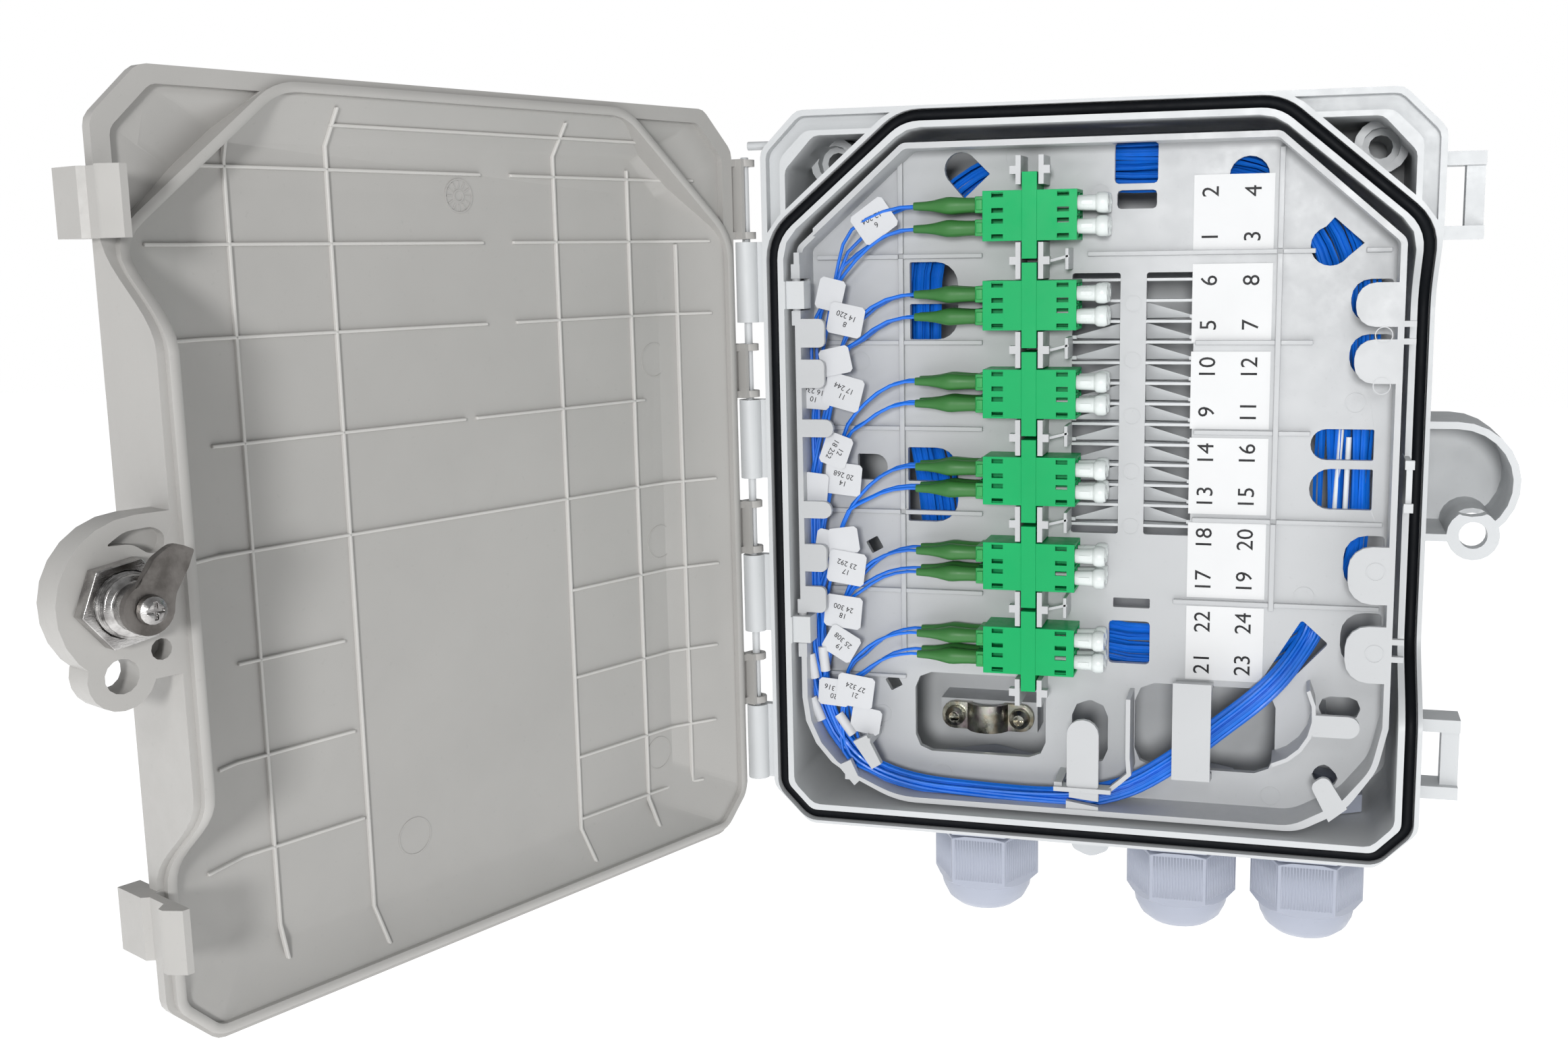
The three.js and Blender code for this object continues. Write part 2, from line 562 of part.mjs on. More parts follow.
// posts that grip the adapter flanges
for (let k = 0; k <= 6; k += 1) {
  const z = ADAPTER_TOP + PITCH / 2 - PITCH * k;
  const posts = [];
  const reach = k === 0 || k === 6 ? 3.6 : 4.6;
  for (const side of [-1, 1]) {
    const x = ADAPTER_X + side * 2.9;
    posts.push(box(x - 0.65, x + 0.65, 4.4, T + 0.4, z - reach, z + reach));
    posts.push(box(x + (side > 0 ? 0 : -2.2), x + (side > 0 ? 2.2 : 0), 4.4, 7, z - 1, z + 1));
  }
  tray = tray.add(all(posts));
}
// fingers that hold the pigtails in the channel: rounded tongues from the wall, with an opening behind each
const finger = (x0, x1, z0, z1, r) => {
  const pts = x0 < 0
    ? [[x0, z0, 0], [x0, z1, 0], [x1, z1, r], [x1, z0, r]]
    : [[x0, z0, r], [x0, z1, r], [x1, z1, 0], [x1, z0, 0]];
  tray = tray.add(solid(slab(outline(pts, 4), TRAY_FRONT, TRAY_FRONT + 1.4)));
};
const slotBehind = (x0, x1, z0, z1, r) => {
  cutTray(solid(slab(outline([[x0, z0, r], [x0, z1, r], [x1, z1, 1], [x1, z0, 1]], 4), 8, 24)));
};
for (const [x0, z0, z1, r] of [
  [65, 39.6, 50.2, 4.6], [65, 25.9, 36.6, 4.6], [65.2, -28.6, -14.2, 5.6], [65.1, -48.6, -34.2, 5.6],
]) {
  slotBehind(x0 - 0.8, 74.2, z0 + 0.6, z1 + 0.6, r);
  finger(x0, 76, z0, z1, r);
}
for (const [x1, z0, z1, r] of [
  [-68.4, 34.6, 42.1, 1.6], [-68.6, 23.9, 31.4, 1.6], [-68.8, -25.7, -18.2, 1.6], [-69.2, -37.0, -29.8, 1.6],
  [-66.4, 10.8, 15.5, 2.2], [-67.2, -11.1, -6.5, 2.2],
]) {
  finger(-76.2, x1, z0, z1, r);
}
// bottom retainers
cutTray(win(-4.3, 5.4, -78.6, -60.7, 4.4));
tray = tray.add(all([
  slab(
    outline([[-3.9, -81, 0.5], [-3.9, -62.6, 4], [4.4, -62.6, 4], [4.4, -81, 0.5]], 4),
    TRAY_FRONT, TRAY_FRONT + 1.5,
  ),
  box(-7.3, 7.7, TRAY_FRONT - 0.6, 6.6, -82.2, -81),
  box(-7.3, -5.2, TRAY_FRONT + 0.4, T + 0.4, -81.1, -80),
  slab([[-3.3, -84], [-3.3, -81.6], [4.4, -81.6], [4.4, -84.7]], TRAY_FRONT + 0.4, 5.2),
  slab([[-4.1, -88.2], [-4.1, -85], [4.4, -86.2], [4.4, -88.2]], TRAY_FRONT + 0.4, 5.2),
]));
// thin guide wall from the retainer's shelf round the corner of the right window
const guideLine = [[7.2, -81.6], [9.7, -79.4], [12.2, -77], [11.8, -72.6], [11.8, -57]];
const guide = [];
for (let k = 0; k + 1 < guideLine.length; k += 1) {
  const a = new THREE.Vector2(...guideLine[k]);
  const b = new THREE.Vector2(...guideLine[k + 1]);
  const along = b.clone().sub(a).normalize().multiplyScalar(0.3);
  const side = new THREE.Vector2(-along.y, along.x).multiplyScalar(1.9);
  a.sub(along);
  b.add(along);
  guide.push(slab([
    a.clone().add(side), b.clone().add(side), b.clone().sub(side), a.clone().sub(side),
  ], TRAY_FRONT + 1.4, k < 2 ? 6.4 : T + 0.4));
}
tray = tray.add(all(guide));
// curved guide wall of the lower right bend
const curved = [];
for (let k = 0; k < 6; k += 1) {
  const from = THREE.MathUtils.degToRad(28 - 17 * k);
  const to = THREE.MathUtils.degToRad(28 - 17 * (k + 1));
  const p = (r, t) => new THREE.Vector2(44.4 + r * Math.cos(t), -58.6 + r * Math.sin(t));
  curved.push(slab([p(14.5, from), p(14.5, to), p(13.5, to), p(13.5, from)], 5, T + 0.5));
}
tray = tray.add(all(curved));
const bendTab = outline([[58, -63.8, 0], [58, -58.2, 0], [69.4, -58.2, 2.7], [69.4, -63.8, 2.7]], 4);
tray = tray.add(solid(slab(bendTab, 5, 6.5)));
cutTray(win(59.6, 69.8, -62, -56, 2.7));
const fingerB = outline([[57.8, -76, 1.9], [61.6, -73, 1.9], [67, -81.6, 0], [62.6, -85.4, 0]], 4);
cutTray(hole([[57.4, -77.2], [61.4, -73.6], [65.6, -78], [62.2, -81.4]], 1.9));
tray = tray.add(solid(slab(fingerB, TRAY_FRONT, TRAY_FRONT + 1.5)));
// wedge clips over the lower left bend
const wedge = (points) => slab(points, TRAY_FRONT, TRAY_FRONT + 2);
tray = tray.add(all([
  wedge([[-62.2, -72.6], [-58.4, -70.6], [-54.4, -78.4], [-57, -80]]),
  wedge([[-66.6, -79.6], [-63, -77.8], [-60.4, -83.4], [-62, -85]]),
  box(-59.2, -57.4, TRAY_FRONT, T + 0.4, -73.6, -71.4),
  box(-64.6, -62.4, TRAY_FRONT, T + 0.4, -83.4, -80.4),
]));
// strap across the right cable window, catch pegs on the right edge
tray = tray.add(all([
  plateX([
    [3.4, -77.2], [3.4, -51.4], [5, -51.4], [5, -53.8], [T + 0.5, -53.8], [T + 0.5, -55.2], [5, -55.2],
    [5, -75.6], [T + 0.5, -78.6], [T + 0.5, -80.4],
  ], 23.2, 32.9),
]));
tray = tray.add(all([
  box(75.6, 79.0, 3, 4.6, 39.6, 41.0),
  box(75.6, 79.0, 3, 4.6, 35.4, 36.8),
  box(75.6, 79.0, 3, 4.6, -38.6, -37.2),
  box(75.6, 79.0, 3, 4.6, -43.0, -41.6),
]));
// pivot pins that turn in the hinge blocks
for (const z of [48.4, -41.5]) {
  tray = tray.add(all([
    rodZ(1.1, TRAY_AXIS[0], TRAY_AXIS[1], z - 8, z + 8, 12),
    box(-77.2, -74.8, TRAY_FRONT, 7, z + 4.2, z + 8),
    box(-77.2, -74.8, TRAY_FRONT, 7, z - 8, z - 4.2),
  ]));
}
add("swing_tray", tray, trayGrey);

// ---- adapters, plugs and caps: six adapters, four ports each ----
const layers = [7.2, 12.8];
const rows = [2.9, -2.9];
for (let k = 0; k < 6; k += 1) {
  const z = ADAPTER_TOP - PITCH * k;
  const x = ADAPTER_X;
  let adapter = all([
    box(x - 12, x + 12, 4.2, T - GAP, z - 6.3, z + 6.3),
    box(x - 1.9, x + 1.9, 4.0, T - GAP, z - 10.8, z + 10.8),
  ]);
  const ports = [];
  for (const y of layers) {
    for (const r of rows) {
      ports.push(box(x - 13, x - 4, y - 2.5, y + 2.5, z + r - 2.6, z + r + 2.6));
      ports.push(box(x + 4, x + 13, y - 2.5, y + 2.5, z + r - 2.6, z + r + 2.6));
    }
  }
  adapter = adapter.subtract(all(ports));
  add(`lc_adapter_${k + 1}`, adapter, green);

  for (const [name, y] of [["front", layers[0]], ["rear", layers[1]]]) {
    const plugs = [];
    for (const r of rows) {
      plugs.push(box(x - 14.4, x - 5, y - 2.2, y + 2.2, z + r - 2.25, z + r + 2.25));
      const boot = turned([[0, -30.4], [1, -30.4], [2.1, -17.5], [2.1, -14], [0, -14]], "x", 7);
      plugs.push(at(boot, x, y, z + r));
    }
    plugs.push(box(x - 16.6, x - 14.2, y - 1.8, y + 1.8, z - 2.4, z + 2.4));
    add(`lc_plug_${k + 1}_${name}`, all(plugs), bootGreen);

    const caps = [];
    for (const r of rows) {
      const cap = turned([[0, 4.6], [1.9, 4.6], [1.9, 17.2], [2.75, 17.2], [2.75, 19.6], [0, 19.6]], "x", 7);
      caps.push(at(cap, x, y, z + r));
    }
    caps.push(box(x + 13.2, x + 14.4, y - 0.7, y + 0.7, z - 2, z + 2));
    add(`dust_cap_${k + 1}_${name}`, all(caps), clear);
  }
}

// ---- pigtails ----
// coil stored behind the tray
const coilLine = outline([[-44, -46, 34], [-44, 80, 34], [64, 80, 34], [64, -46, 34]], 9);
add("fibre_coil", sweptRing(coilLine, [[-7, 19.2], [-7, 24.6], [7, 24.6], [7, 19.2]]), blue);
// bundle in the channel, with a branch to every pair of plugs
const trunk = [
  [-71.4, 10.4, 49], [-71.6, 10.8, 40], [-71.6, 10.8, 0],
  [-71.4, 10.8, -40], [-70, 10.8, -60], [-65, 10.8, -72.6],
  [-56, 10.6, -80], [-42, 10, -83.8], [-10, 9.8, -84], [8, 10, -83.1], [21, 10.9, -75.4],
  [36, 10.8, -63], [45.6, 11, -54], [51.6, 13.4, -47.8], [54.4, 17.2, -45.4],
];
const harness = [cord(trunk, 2.6, 44, 8)];
for (let k = 0; k < 6; k += 1) {
  const z = ADAPTER_TOP - PITCH * k;
  harness.push(cord([
    [ADAPTER_X - 31, 10, z], [ADAPTER_X - 36, 10, z - 0.6], [ADAPTER_X - 46, 10.2, z - 6],
    [-66.4, 10.4, z - 15], [-71.5, 10.8, z - 20],
  ], 1.1, 9, 6));
  harness.push(box(ADAPTER_X - 31.6, ADAPTER_X - 30.7, layers[0] - 0.8, layers[1] + 0.8, z - 3.4, z + 3.4));
}
add("pigtail_harness", all(harness), blue);

// ---- cable anchor ----
const saddle = [];
for (const side of [-1, 1]) {
  const [inner, outer] = [-31.1 + side * 5.5, -31.1 + side * 13.3];
  const ear = [[inner, -77, 0], [outer, -77, 3.6], [outer, -69, 3.6], [inner, -69, 0]];
  saddle.push(slab(outline(side > 0 ? ear : ear.reverse(), 4), 36.1, 37.7));
}
const arch = [];
for (let k = 0; k <= 8; k += 1) {
  const a = (Math.PI * k) / 8;
  arch.push([-31.1 - 6.2 * Math.cos(a), 37.7 - 5.6 * Math.sin(a)]);
}
for (let k = 8; k >= 0; k -= 1) {
  const a = (Math.PI * k) / 8;
  arch.push([-31.1 - 4.7 * Math.cos(a), 37.7 - 4.1 * Math.sin(a)]);
}
saddle.push(plateZ(arch, -77, -69));
let strap = all(saddle);
for (const x of [-40.4, -21.8]) strap = strap.subtract(solid(rodY(1.8, x, -73, 30, 40, 12)));
add("clamp_saddle", strap, zinc);
[-40.4, -21.8].forEach((x, k) => {
  const screw = solid(turned([
    [0, 33.4], [1.6, 33.4], [2.8, 34.4], [3, 35.8], [1.2, 35.8], [1.2, 43], [0, 43],
  ], "y", 14))
    .subtract(solid(box(-1.5, 1.5, 32, 34.3, -0.35, 0.35)))
    .subtract(solid(box(-0.35, 0.35, 32, 34.3, -1.5, 1.5)));
  add(`clamp_screw_${k + 1}`, screw.translate([x, 0, -73]), zinc);
});

// ---- cable glands ----
const hexZ = (flats, z0, z1) => {
  const g = new THREE.CylinderGeometry(flats / Math.sqrt(3), flats / Math.sqrt(3), z1 - z0, 6);
  g.rotateX(Math.PI / 2);
  g.rotateZ(Math.PI / 6);
  g.translate(0, 0, (z0 + z1) / 2);
  return g;
};
const WALL_OUT = -(HALF_H - 3.2);
GLAND_X.forEach((x, k) => {
  const n = k + 1;
  const place = (m) => m.translate([x, GLAND_Y, 0]);
  const body = all([
    rod(10, WALL_OUT - 1, -84.4, "z", 16),
    hexZ(26, -103.6, WALL_OUT - GAP),
    rod(10.4, -113.6, -103, "z", 16),
  ]).subtract(solid(rod(6.6, -130, -70, "z", 12)));
  add(`gland_body_${n}`, place(body), glandGrey);
  const locknut = solid(hexZ(27, -89.8, -85)).rotate([0, 0, 30]).subtract(solid(rod(10.4, -100, -70, "z", 16)));
  add(`gland_locknut_${n}`, place(locknut), glandGrey);
  const shell = turned([
    [10.8, -103.9], [13.6, -103.9], [15.2, -104.8], [15.2, -117.6], [12.9, -119.2], [12.5, -121.4],
    [11, -124.4], [8.6, -126.4],
    [6.6, -127], [6.2, -126.4], [6.2, -123], [10.8, -117.6], [10.8, -103.9],
  ], "z", 24);
  const flats = solid(hexZ(26, -119.2, -103)).add(solid(rod(12.9, -128, -118, "z", 24)));
  const nut = solid(shell).intersect(flats);
  add(`gland_nut_${n}`, place(nut), glandGrey);
  const sealRing = turned([
    [5.6, -121], [7.4, -121], [10, -118], [10, -114.4], [5.6, -114.4], [5.6, -121],
  ], "z", 12);
  add(`gland_seal_${n}`, place(solid(sealRing)), rubber);
});

export default root;
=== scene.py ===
"""Looks for the wall-mounted fibre termination box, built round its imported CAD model."""
import math
import random

import bmesh
import bpy
from mathutils import Matrix, Vector
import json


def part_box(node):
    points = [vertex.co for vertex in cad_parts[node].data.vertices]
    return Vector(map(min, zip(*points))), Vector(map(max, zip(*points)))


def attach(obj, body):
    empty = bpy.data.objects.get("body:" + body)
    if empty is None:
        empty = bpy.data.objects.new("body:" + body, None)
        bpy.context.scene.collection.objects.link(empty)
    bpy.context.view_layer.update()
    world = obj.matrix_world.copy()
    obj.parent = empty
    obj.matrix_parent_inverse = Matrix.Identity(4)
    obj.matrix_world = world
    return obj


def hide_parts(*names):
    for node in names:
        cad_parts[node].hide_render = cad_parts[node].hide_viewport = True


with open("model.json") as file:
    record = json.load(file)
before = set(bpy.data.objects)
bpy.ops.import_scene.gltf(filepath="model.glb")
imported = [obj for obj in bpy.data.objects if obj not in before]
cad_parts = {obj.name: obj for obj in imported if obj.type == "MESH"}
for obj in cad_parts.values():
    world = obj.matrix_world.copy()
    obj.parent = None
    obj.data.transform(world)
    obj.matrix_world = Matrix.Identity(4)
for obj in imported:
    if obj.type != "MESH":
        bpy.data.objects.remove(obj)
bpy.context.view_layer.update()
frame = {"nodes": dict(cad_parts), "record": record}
NODES = frame["nodes"]

# ---- dimensions, in millimetres, with y = 0 in the plane of the rim and plus towards the wall ----
MM = 0.001
DEPTH = 52.0                        # rim to wall
HINGE = (-88.4, 0.2)                # the door's pin, x and y
DOOR_OPEN = 113.7                   # degrees, at rest
DOOR_FACE = -6.6                    # inner face of the closed door, at its middle
DOOR_FLAT = (62, 82.5)              # half its flat middle, in x and z
DOOR_SLOPE = (18.4, 9.5)            # width of the slope beyond that
LOCK_AT = (94.8, 0.6)               # axis of the lock in the closed door, x and z
DIAL_AT = (-1.5, 73)                # moulded dial on the door, x and z
TRAY_FLOOR = 16.0                   # front face of the tray's floor
TRAY_FRONT = 3.0                    # front face of its retaining fingers
TRAY_WALL = 73.5                    # inside of its side walls, left and right
COMB_X = ((-5.2, 7.6), (13.8, 26.4))  # the comb's two rows of fins
COMB_TOP = 51.2
COMB_PITCH = 5.32
ADAPTER_X = -14.4                   # middle of the adapters
ADAPTER_TOP = 67.8                  # height of the first one
ADAPTER_FACE = 4.1                  # its front face
PITCH = 22.6                        # from adapter to adapter
LAYERS = (7.2, 12.8)                # depths of its front and rear ports
ROWS = (2.9, -2.9)                  # heights of its ports, from its middle
LABEL_X = (25.5, 45.2)
LABEL_TOP = 77.1
LABEL_PITCH = 22.12
LABEL_TALL = 19.8
FLAG_DEPTH = 7.3                    # front of the foremost marker flags
FIBRE_RADIUS = 0.45
FIBRES = 24
GOLDEN_ANGLE = 2.39996              # turns each fibre away from the last one, so they fill their bundle
COIL_MIDDLE = (10, 17)              # of the stored loops behind the tray, x and z
COIL_TURNS = 34
GLAND_X = (-31.0, 24.2, 58.1)
GLAND_Y = 33.6
GRIP_Z = (-105, -116.8)             # ends of the grip ribs on the gland nuts
INK_THICK = 0.03
SHARP = math.radians(38)            # edges sharper than this are kept crisp

# ---- camera and lights, in metres and watts ----
CAMERA_AT = (0.0515, -0.4609, 0.0592)
CAMERA_TURN = (15.63, 9.22, 0.90)   # yaw to the left, pitch down and roll, in degrees
LENS = 37.258                       # millimetres, on a 36 mm sensor
LENS_SHIFT = (-0.0383, -0.0086)
WORLD_LIGHT = 0.36
LIGHTS = (                          # name, place, target, size, power
    ("key", (0.1, -1.2, 0.6), (0, -0.05, 0), 0.25, 1.5),
    ("front", (0.12, -1.3, 0.19), (0, -0.03, -0.01), 0.2, 8.4),
    ("fill", (-0.85, -0.75, 0.55), (0, -0.05, 0), 0.6, 0.9),
)
STAGE_HALF, STAGE_Z = 6, -0.55


def at_base(p):
    """A point in rim millimetres, in the row frame."""
    return Vector((p[0] * MM, (p[1] - DEPTH) * MM, p[2] * MM))


TURN = Matrix.Rotation(math.radians(-DOOR_OPEN), 4, "Z")


def at_door(p):
    """A point drawn on the closed door, where it is with the door open as at rest."""
    v = TURN @ Vector((p[0] - HINGE[0], p[1] - HINGE[1], p[2]))
    return at_base((v.x + HINGE[0], v.y + HINGE[1], v.z))


# ---- camera, lights and stage ----
def make_camera():
    """The camera of the main view."""
    yaw, pitch, roll = (math.radians(a) for a in CAMERA_TURN)
    forward = Vector((-math.sin(yaw) * math.cos(pitch), math.cos(yaw) * math.cos(pitch), -math.sin(pitch)))
    right = Vector((math.cos(yaw), math.sin(yaw), 0))
    down = forward.cross(right)
    across = math.cos(roll) * right + math.sin(roll) * down
    below = -math.sin(roll) * right + math.cos(roll) * down
    data = bpy.data.cameras.new("camera")
    data.sensor_width = 36
    data.lens = LENS
    data.shift_x, data.shift_y = LENS_SHIFT
    data.clip_start = 0.01
    data.clip_end = 20
    camera = bpy.data.objects.new("camera", data)
    turned = Matrix((across, -below, -forward)).transposed().to_4x4()
    camera.matrix_world = Matrix.Translation(CAMERA_AT) @ turned
    bpy.context.scene.collection.objects.link(camera)
    bpy.context.scene.camera = camera


def area_light(name, place, target, size, power):
    """A round soft light at place that faces target."""
    data = bpy.data.lights.new(name, "AREA")
    data.shape = "DISK"
    data.size = size
    data.energy = power
    lamp = bpy.data.objects.new(name, data)
    lamp.location = place
    lamp.rotation_euler = (Vector(target) - Vector(place)).to_track_quat("-Z", "Y").to_euler()
    bpy.context.scene.collection.objects.link(lamp)


def make_stage():
    """World, lights and a pale floor. The camera sees the world itself as plain white."""
    world = bpy.data.worlds.new("studio")
    world.use_nodes = True
    tree = world.node_tree
    tree.nodes["Background"].inputs[1].default_value = WORLD_LIGHT
    seen = tree.nodes.new("ShaderNodeBackground")
    seen.inputs[1].default_value = 1.0
    path = tree.nodes.new("ShaderNodeLightPath")
    blend = tree.nodes.new("ShaderNodeMixShader")
    tree.nodes["Background"].inputs[0].default_value = (0.97, 0.985, 1, 1)
    seen.inputs[0].default_value = (1, 1, 1, 1)
    tree.links.new(path.outputs["Is Camera Ray"], blend.inputs[0])
    tree.links.new(tree.nodes["Background"].outputs[0], blend.inputs[1])
    tree.links.new(seen.outputs[0], blend.inputs[2])
    tree.links.new(blend.outputs[0], tree.nodes["World Output"].inputs[0])
    bpy.context.scene.world = world
    bpy.context.scene.view_settings.view_transform = "Standard"
    for light in LIGHTS:
        area_light(*light)
    mesh = bpy.data.meshes.new("floor")
    corners = [(x * STAGE_HALF, y * STAGE_HALF, STAGE_Z) for x, y in ((-1, -1), (1, -1), (1, 1), (-1, 1))]
    mesh.from_pydata(corners, [], [(0, 1, 2, 3)])
    floor = bpy.data.objects.new("floor", mesh)
    bpy.context.scene.collection.objects.link(floor)
    pale = bpy.data.materials.new("stage_floor")
    pale.use_nodes = True
    bsdf = pale.node_tree.nodes["Principled BSDF"]
    bsdf.inputs["Base Color"].default_value = (0.9, 0.9, 0.9, 1)
    bsdf.inputs["Roughness"].default_value = 0.9
    bsdf.inputs["Emission Color"].default_value = (1, 1, 1, 1)
    bsdf.inputs["Emission Strength"].default_value = 0.8
    mesh.materials.append(pale)


make_camera()
make_stage()


# ---- materials ----
class Surface:
    """A Principled material and short ways to wire its nodes."""

    def __init__(self, name, rough, **sockets):
        self.material = bpy.data.materials.new(name)
        self.material.use_nodes = True
        self.tree = self.material.node_tree
        self.bsdf = self.tree.nodes["Principled BSDF"]
        self.bsdf.inputs["Roughness"].default_value = rough
        for key, value in sockets.items():
            self.bsdf.inputs[key.replace("_", " ")].default_value = value
        self.coords = self.tree.nodes.new("ShaderNodeTexCoord").outputs["Object"]

    def node(self, kind, links):
        """A new node, with each input in links wired to a socket or set to a value."""
        made = self.tree.nodes.new(kind)
        for socket, source in links.items():
            if isinstance(source, bpy.types.NodeSocket):
                self.tree.links.new(source, made.inputs[socket])
            else:
                made.inputs[socket].default_value = source
        return made

    def noise(self, scale, detail, rough=0.5):
        """Noise in the object's own coordinates, with about scale waves to a metre."""
        made = self.node("ShaderNodeTexNoise", {"Vector": self.coords, "Scale": scale, "Detail": detail,
                                                "Roughness": rough})
        return made.outputs["Fac"]

    def ramp(self, source, *stops):
        """Turns a source into colours, by stops of a place from 0 to 1 and a colour."""
        made = self.node("ShaderNodeValToRGB", {"Fac": source})
        elements = made.color_ramp.elements
        while len(elements) < len(stops):
            elements.new(0.5)
        for element, (where, colour) in zip(elements, stops):
            element.position = where
            element.color = (*colour, 1)
        return made.outputs["Color"]

    def mix(self, factor, a, b):
        """Colour a where factor is 0 and colour b where it is 1."""
        made = self.tree.nodes.new("ShaderNodeMix")
        made.data_type = "RGBA"
        # inputs 0, 6 and 7 are the factor and the two colours; the others are for numbers and vectors
        for socket, source in ((made.inputs[0], factor), (made.inputs[6], a), (made.inputs[7], b)):
            if isinstance(source, bpy.types.NodeSocket):
                self.tree.links.new(source, socket)
            else:
                socket.default_value = (*source, 1) if isinstance(source, tuple) else source
        return made.outputs[2]

    def range(self, source, low, high, start=0.35, end=0.65):
        """Maps start to end of a source onto low to high."""
        made = self.node("ShaderNodeMapRange", {"Value": source, "From Min": start, "From Max": end,
                                                "To Min": low, "To Max": high})
        return made.outputs["Result"]

    def bump(self, source, strength, distance, after=None):
        """A normal roughened by a source, over the normal after it."""
        links = {"Height": source, "Strength": strength, "Distance": distance}
        made = self.node("ShaderNodeBump", links)
        if after is not None:
            self.tree.links.new(after, made.inputs["Normal"])
        return made.outputs["Normal"]

    def set(self, socket, source):
        """Wires a source to an input of the Principled node."""
        self.tree.links.new(source, self.bsdf.inputs[socket])


def moulded(name, colour, rough, grain=0.12, dirt=0.06, specular=0.45):
    """Injection-moulded plastic: faint flow shading, a fine grain, dust and fine scuffs."""
    s = Surface(name, rough, Specular_IOR_Level=specular)
    darker = tuple(c * (1 - dirt) for c in colour)
    lighter = tuple(min(1, c * (1 + dirt * 0.35)) for c in colour)
    cloudy = s.ramp(s.noise(22, 4, 0.6), (0.3, darker), (0.62, colour), (0.8, lighter))
    specks = s.range(s.noise(900, 2), 0.0, 0.35, 0.66, 0.76)
    s.set("Base Color", s.mix(specks, cloudy, tuple(c * 0.86 for c in colour)))
    s.set("Roughness", s.range(s.noise(160, 5, 0.7), rough - 0.06, rough + 0.12))
    fine = s.bump(s.noise(2600, 2), grain, 0.00005)
    s.set("Normal", s.bump(s.noise(35, 2), 0.05, 0.0006, fine))
    return s.material


def metal(name, dark, light, rough, stretch=(1, 1, 1), tint=None):
    """Plated metal: fine polishing lines and a slow change of tint and gloss."""
    s = Surface(name, rough, Metallic=1.0)
    mapped = s.node("ShaderNodeMapping", {"Vector": s.coords, "Scale": stretch})
    lines = s.node("ShaderNodeTexNoise", {"Vector": mapped.outputs["Vector"], "Scale": 900, "Detail": 3})
    tone = s.ramp(s.noise(170, 5, 0.6), (0.4, dark), (0.58, light))
    if tint:
        hues = s.ramp(s.noise(260, 2), *tint)
        tone = s.mix(0.45, tone, hues)
    s.set("Base Color", tone)
    s.set("Roughness", s.range(s.noise(300, 4), rough * 0.7, rough * 1.6))
    s.set("Normal", s.bump(lines.outputs["Fac"], 0.35, 0.0001))
    return s.material


def fibre_blue(name, colour):
    """Thin blue fibre sleeving: even colour with slow light and dark stretches and a satin skin."""
    s = Surface(name, 0.34, Specular_IOR_Level=0.5)
    s.set("Base Color", s.ramp(s.noise(70, 3), (0.3, tuple(c * 0.72 for c in colour)), (0.7, colour)))
    s.set("Roughness", s.range(s.noise(400, 3), 0.28, 0.46))
    s.set("Normal", s.bump(s.noise(1500, 2), 0.15, 0.00005))
    return s.material


def label_paper(name, colour, rough):
    """Printed label stock: matt white with a fine fibre grain and a little yellowing."""
    s = Surface(name, rough, Specular_IOR_Level=0.3)
    s.set("Base Color", s.ramp(s.noise(40, 3), (0.3, tuple(c * 0.95 for c in colour)), (0.7, colour)))
    s.set("Roughness", s.range(s.noise(500, 3), rough - 0.08, rough + 0.1))
    s.set("Normal", s.bump(s.noise(3500, 3), 0.2, 0.00004))
    return s.material


MATERIALS = {
    "housing_plastic": moulded("housing_plastic", (0.56, 0.575, 0.585), 0.44),
    "door_plastic": moulded("door_plastic", (0.39, 0.381, 0.366), 0.42),
    "tray_plastic": moulded("tray_plastic", (0.485, 0.495, 0.505), 0.4),
    "seal_rubber": moulded("seal_rubber", (0.005, 0.006, 0.008), 0.55, 0.3, 0.3, 0.12),
    "gland_plastic": moulded("gland_plastic", (0.36, 0.385, 0.46), 0.36),
    "lock_chrome": metal("lock_chrome", (0.25, 0.24, 0.235), (0.5, 0.49, 0.48), 0.2, (1, 1, 6)),
    "zinc_steel": metal("zinc_steel", (0.2, 0.17, 0.12), (0.6, 0.57, 0.5), 0.28, (6, 1, 1),
                        ((0.3, (0.42, 0.3, 0.15)), (0.5, (0.36, 0.42, 0.36)), (0.7, (0.4, 0.28, 0.38)))),
    "adapter_plastic": moulded("adapter_plastic", (0.002, 0.37, 0.11), 0.4, 0.1, 0.1, 0.22),
    "plug_plastic": moulded("plug_plastic", (0.035, 0.17, 0.035), 0.42, 0.12, 0.15),
    "cap_plastic": moulded("cap_plastic", (0.66, 0.70, 0.69), 0.3, 0.03, 0.03, 0.5),
    "fibre_jacket": fibre_blue("fibre_jacket", (0.006, 0.175, 0.80)),
}
THREAD = metal("thread_steel", (0.07, 0.066, 0.064), (0.42, 0.41, 0.4), 0.22, (1, 1, 6))
STEEL_LEVER = metal("satin_steel", (0.13, 0.12, 0.112), (0.20, 0.187, 0.176), 0.42, (8, 1, 1))
PAPER = label_paper("label_paper", (0.72, 0.725, 0.73), 0.85)
FLAG = label_paper("flag_film", (0.60, 0.61, 0.63), 0.5)
# painted highlight: the door ribs take the door's plastic about a third lighter, standing in for light on
# their top edges
RIB_PAINTED_HIGHLIGHT = moulded("door_rib", (0.52, 0.51, 0.49), 0.36)
INK = label_paper("label_ink", (0.012, 0.012, 0.014), 0.55)
SLEEVE = label_paper("splice_sleeve", (0.75, 0.78, 0.8), 0.35)
BRIGHT_GREEN = moulded("plug_body", (0.02, 0.30, 0.07), 0.36, 0.1, 0.1)
# painted light: the comb fins take a lighter copy of the tray plastic, standing in for light in the shade
# behind the tray floor
FIN_PAINTED_LIGHT = moulded("comb_fin", (0.56, 0.575, 0.585), 0.4)


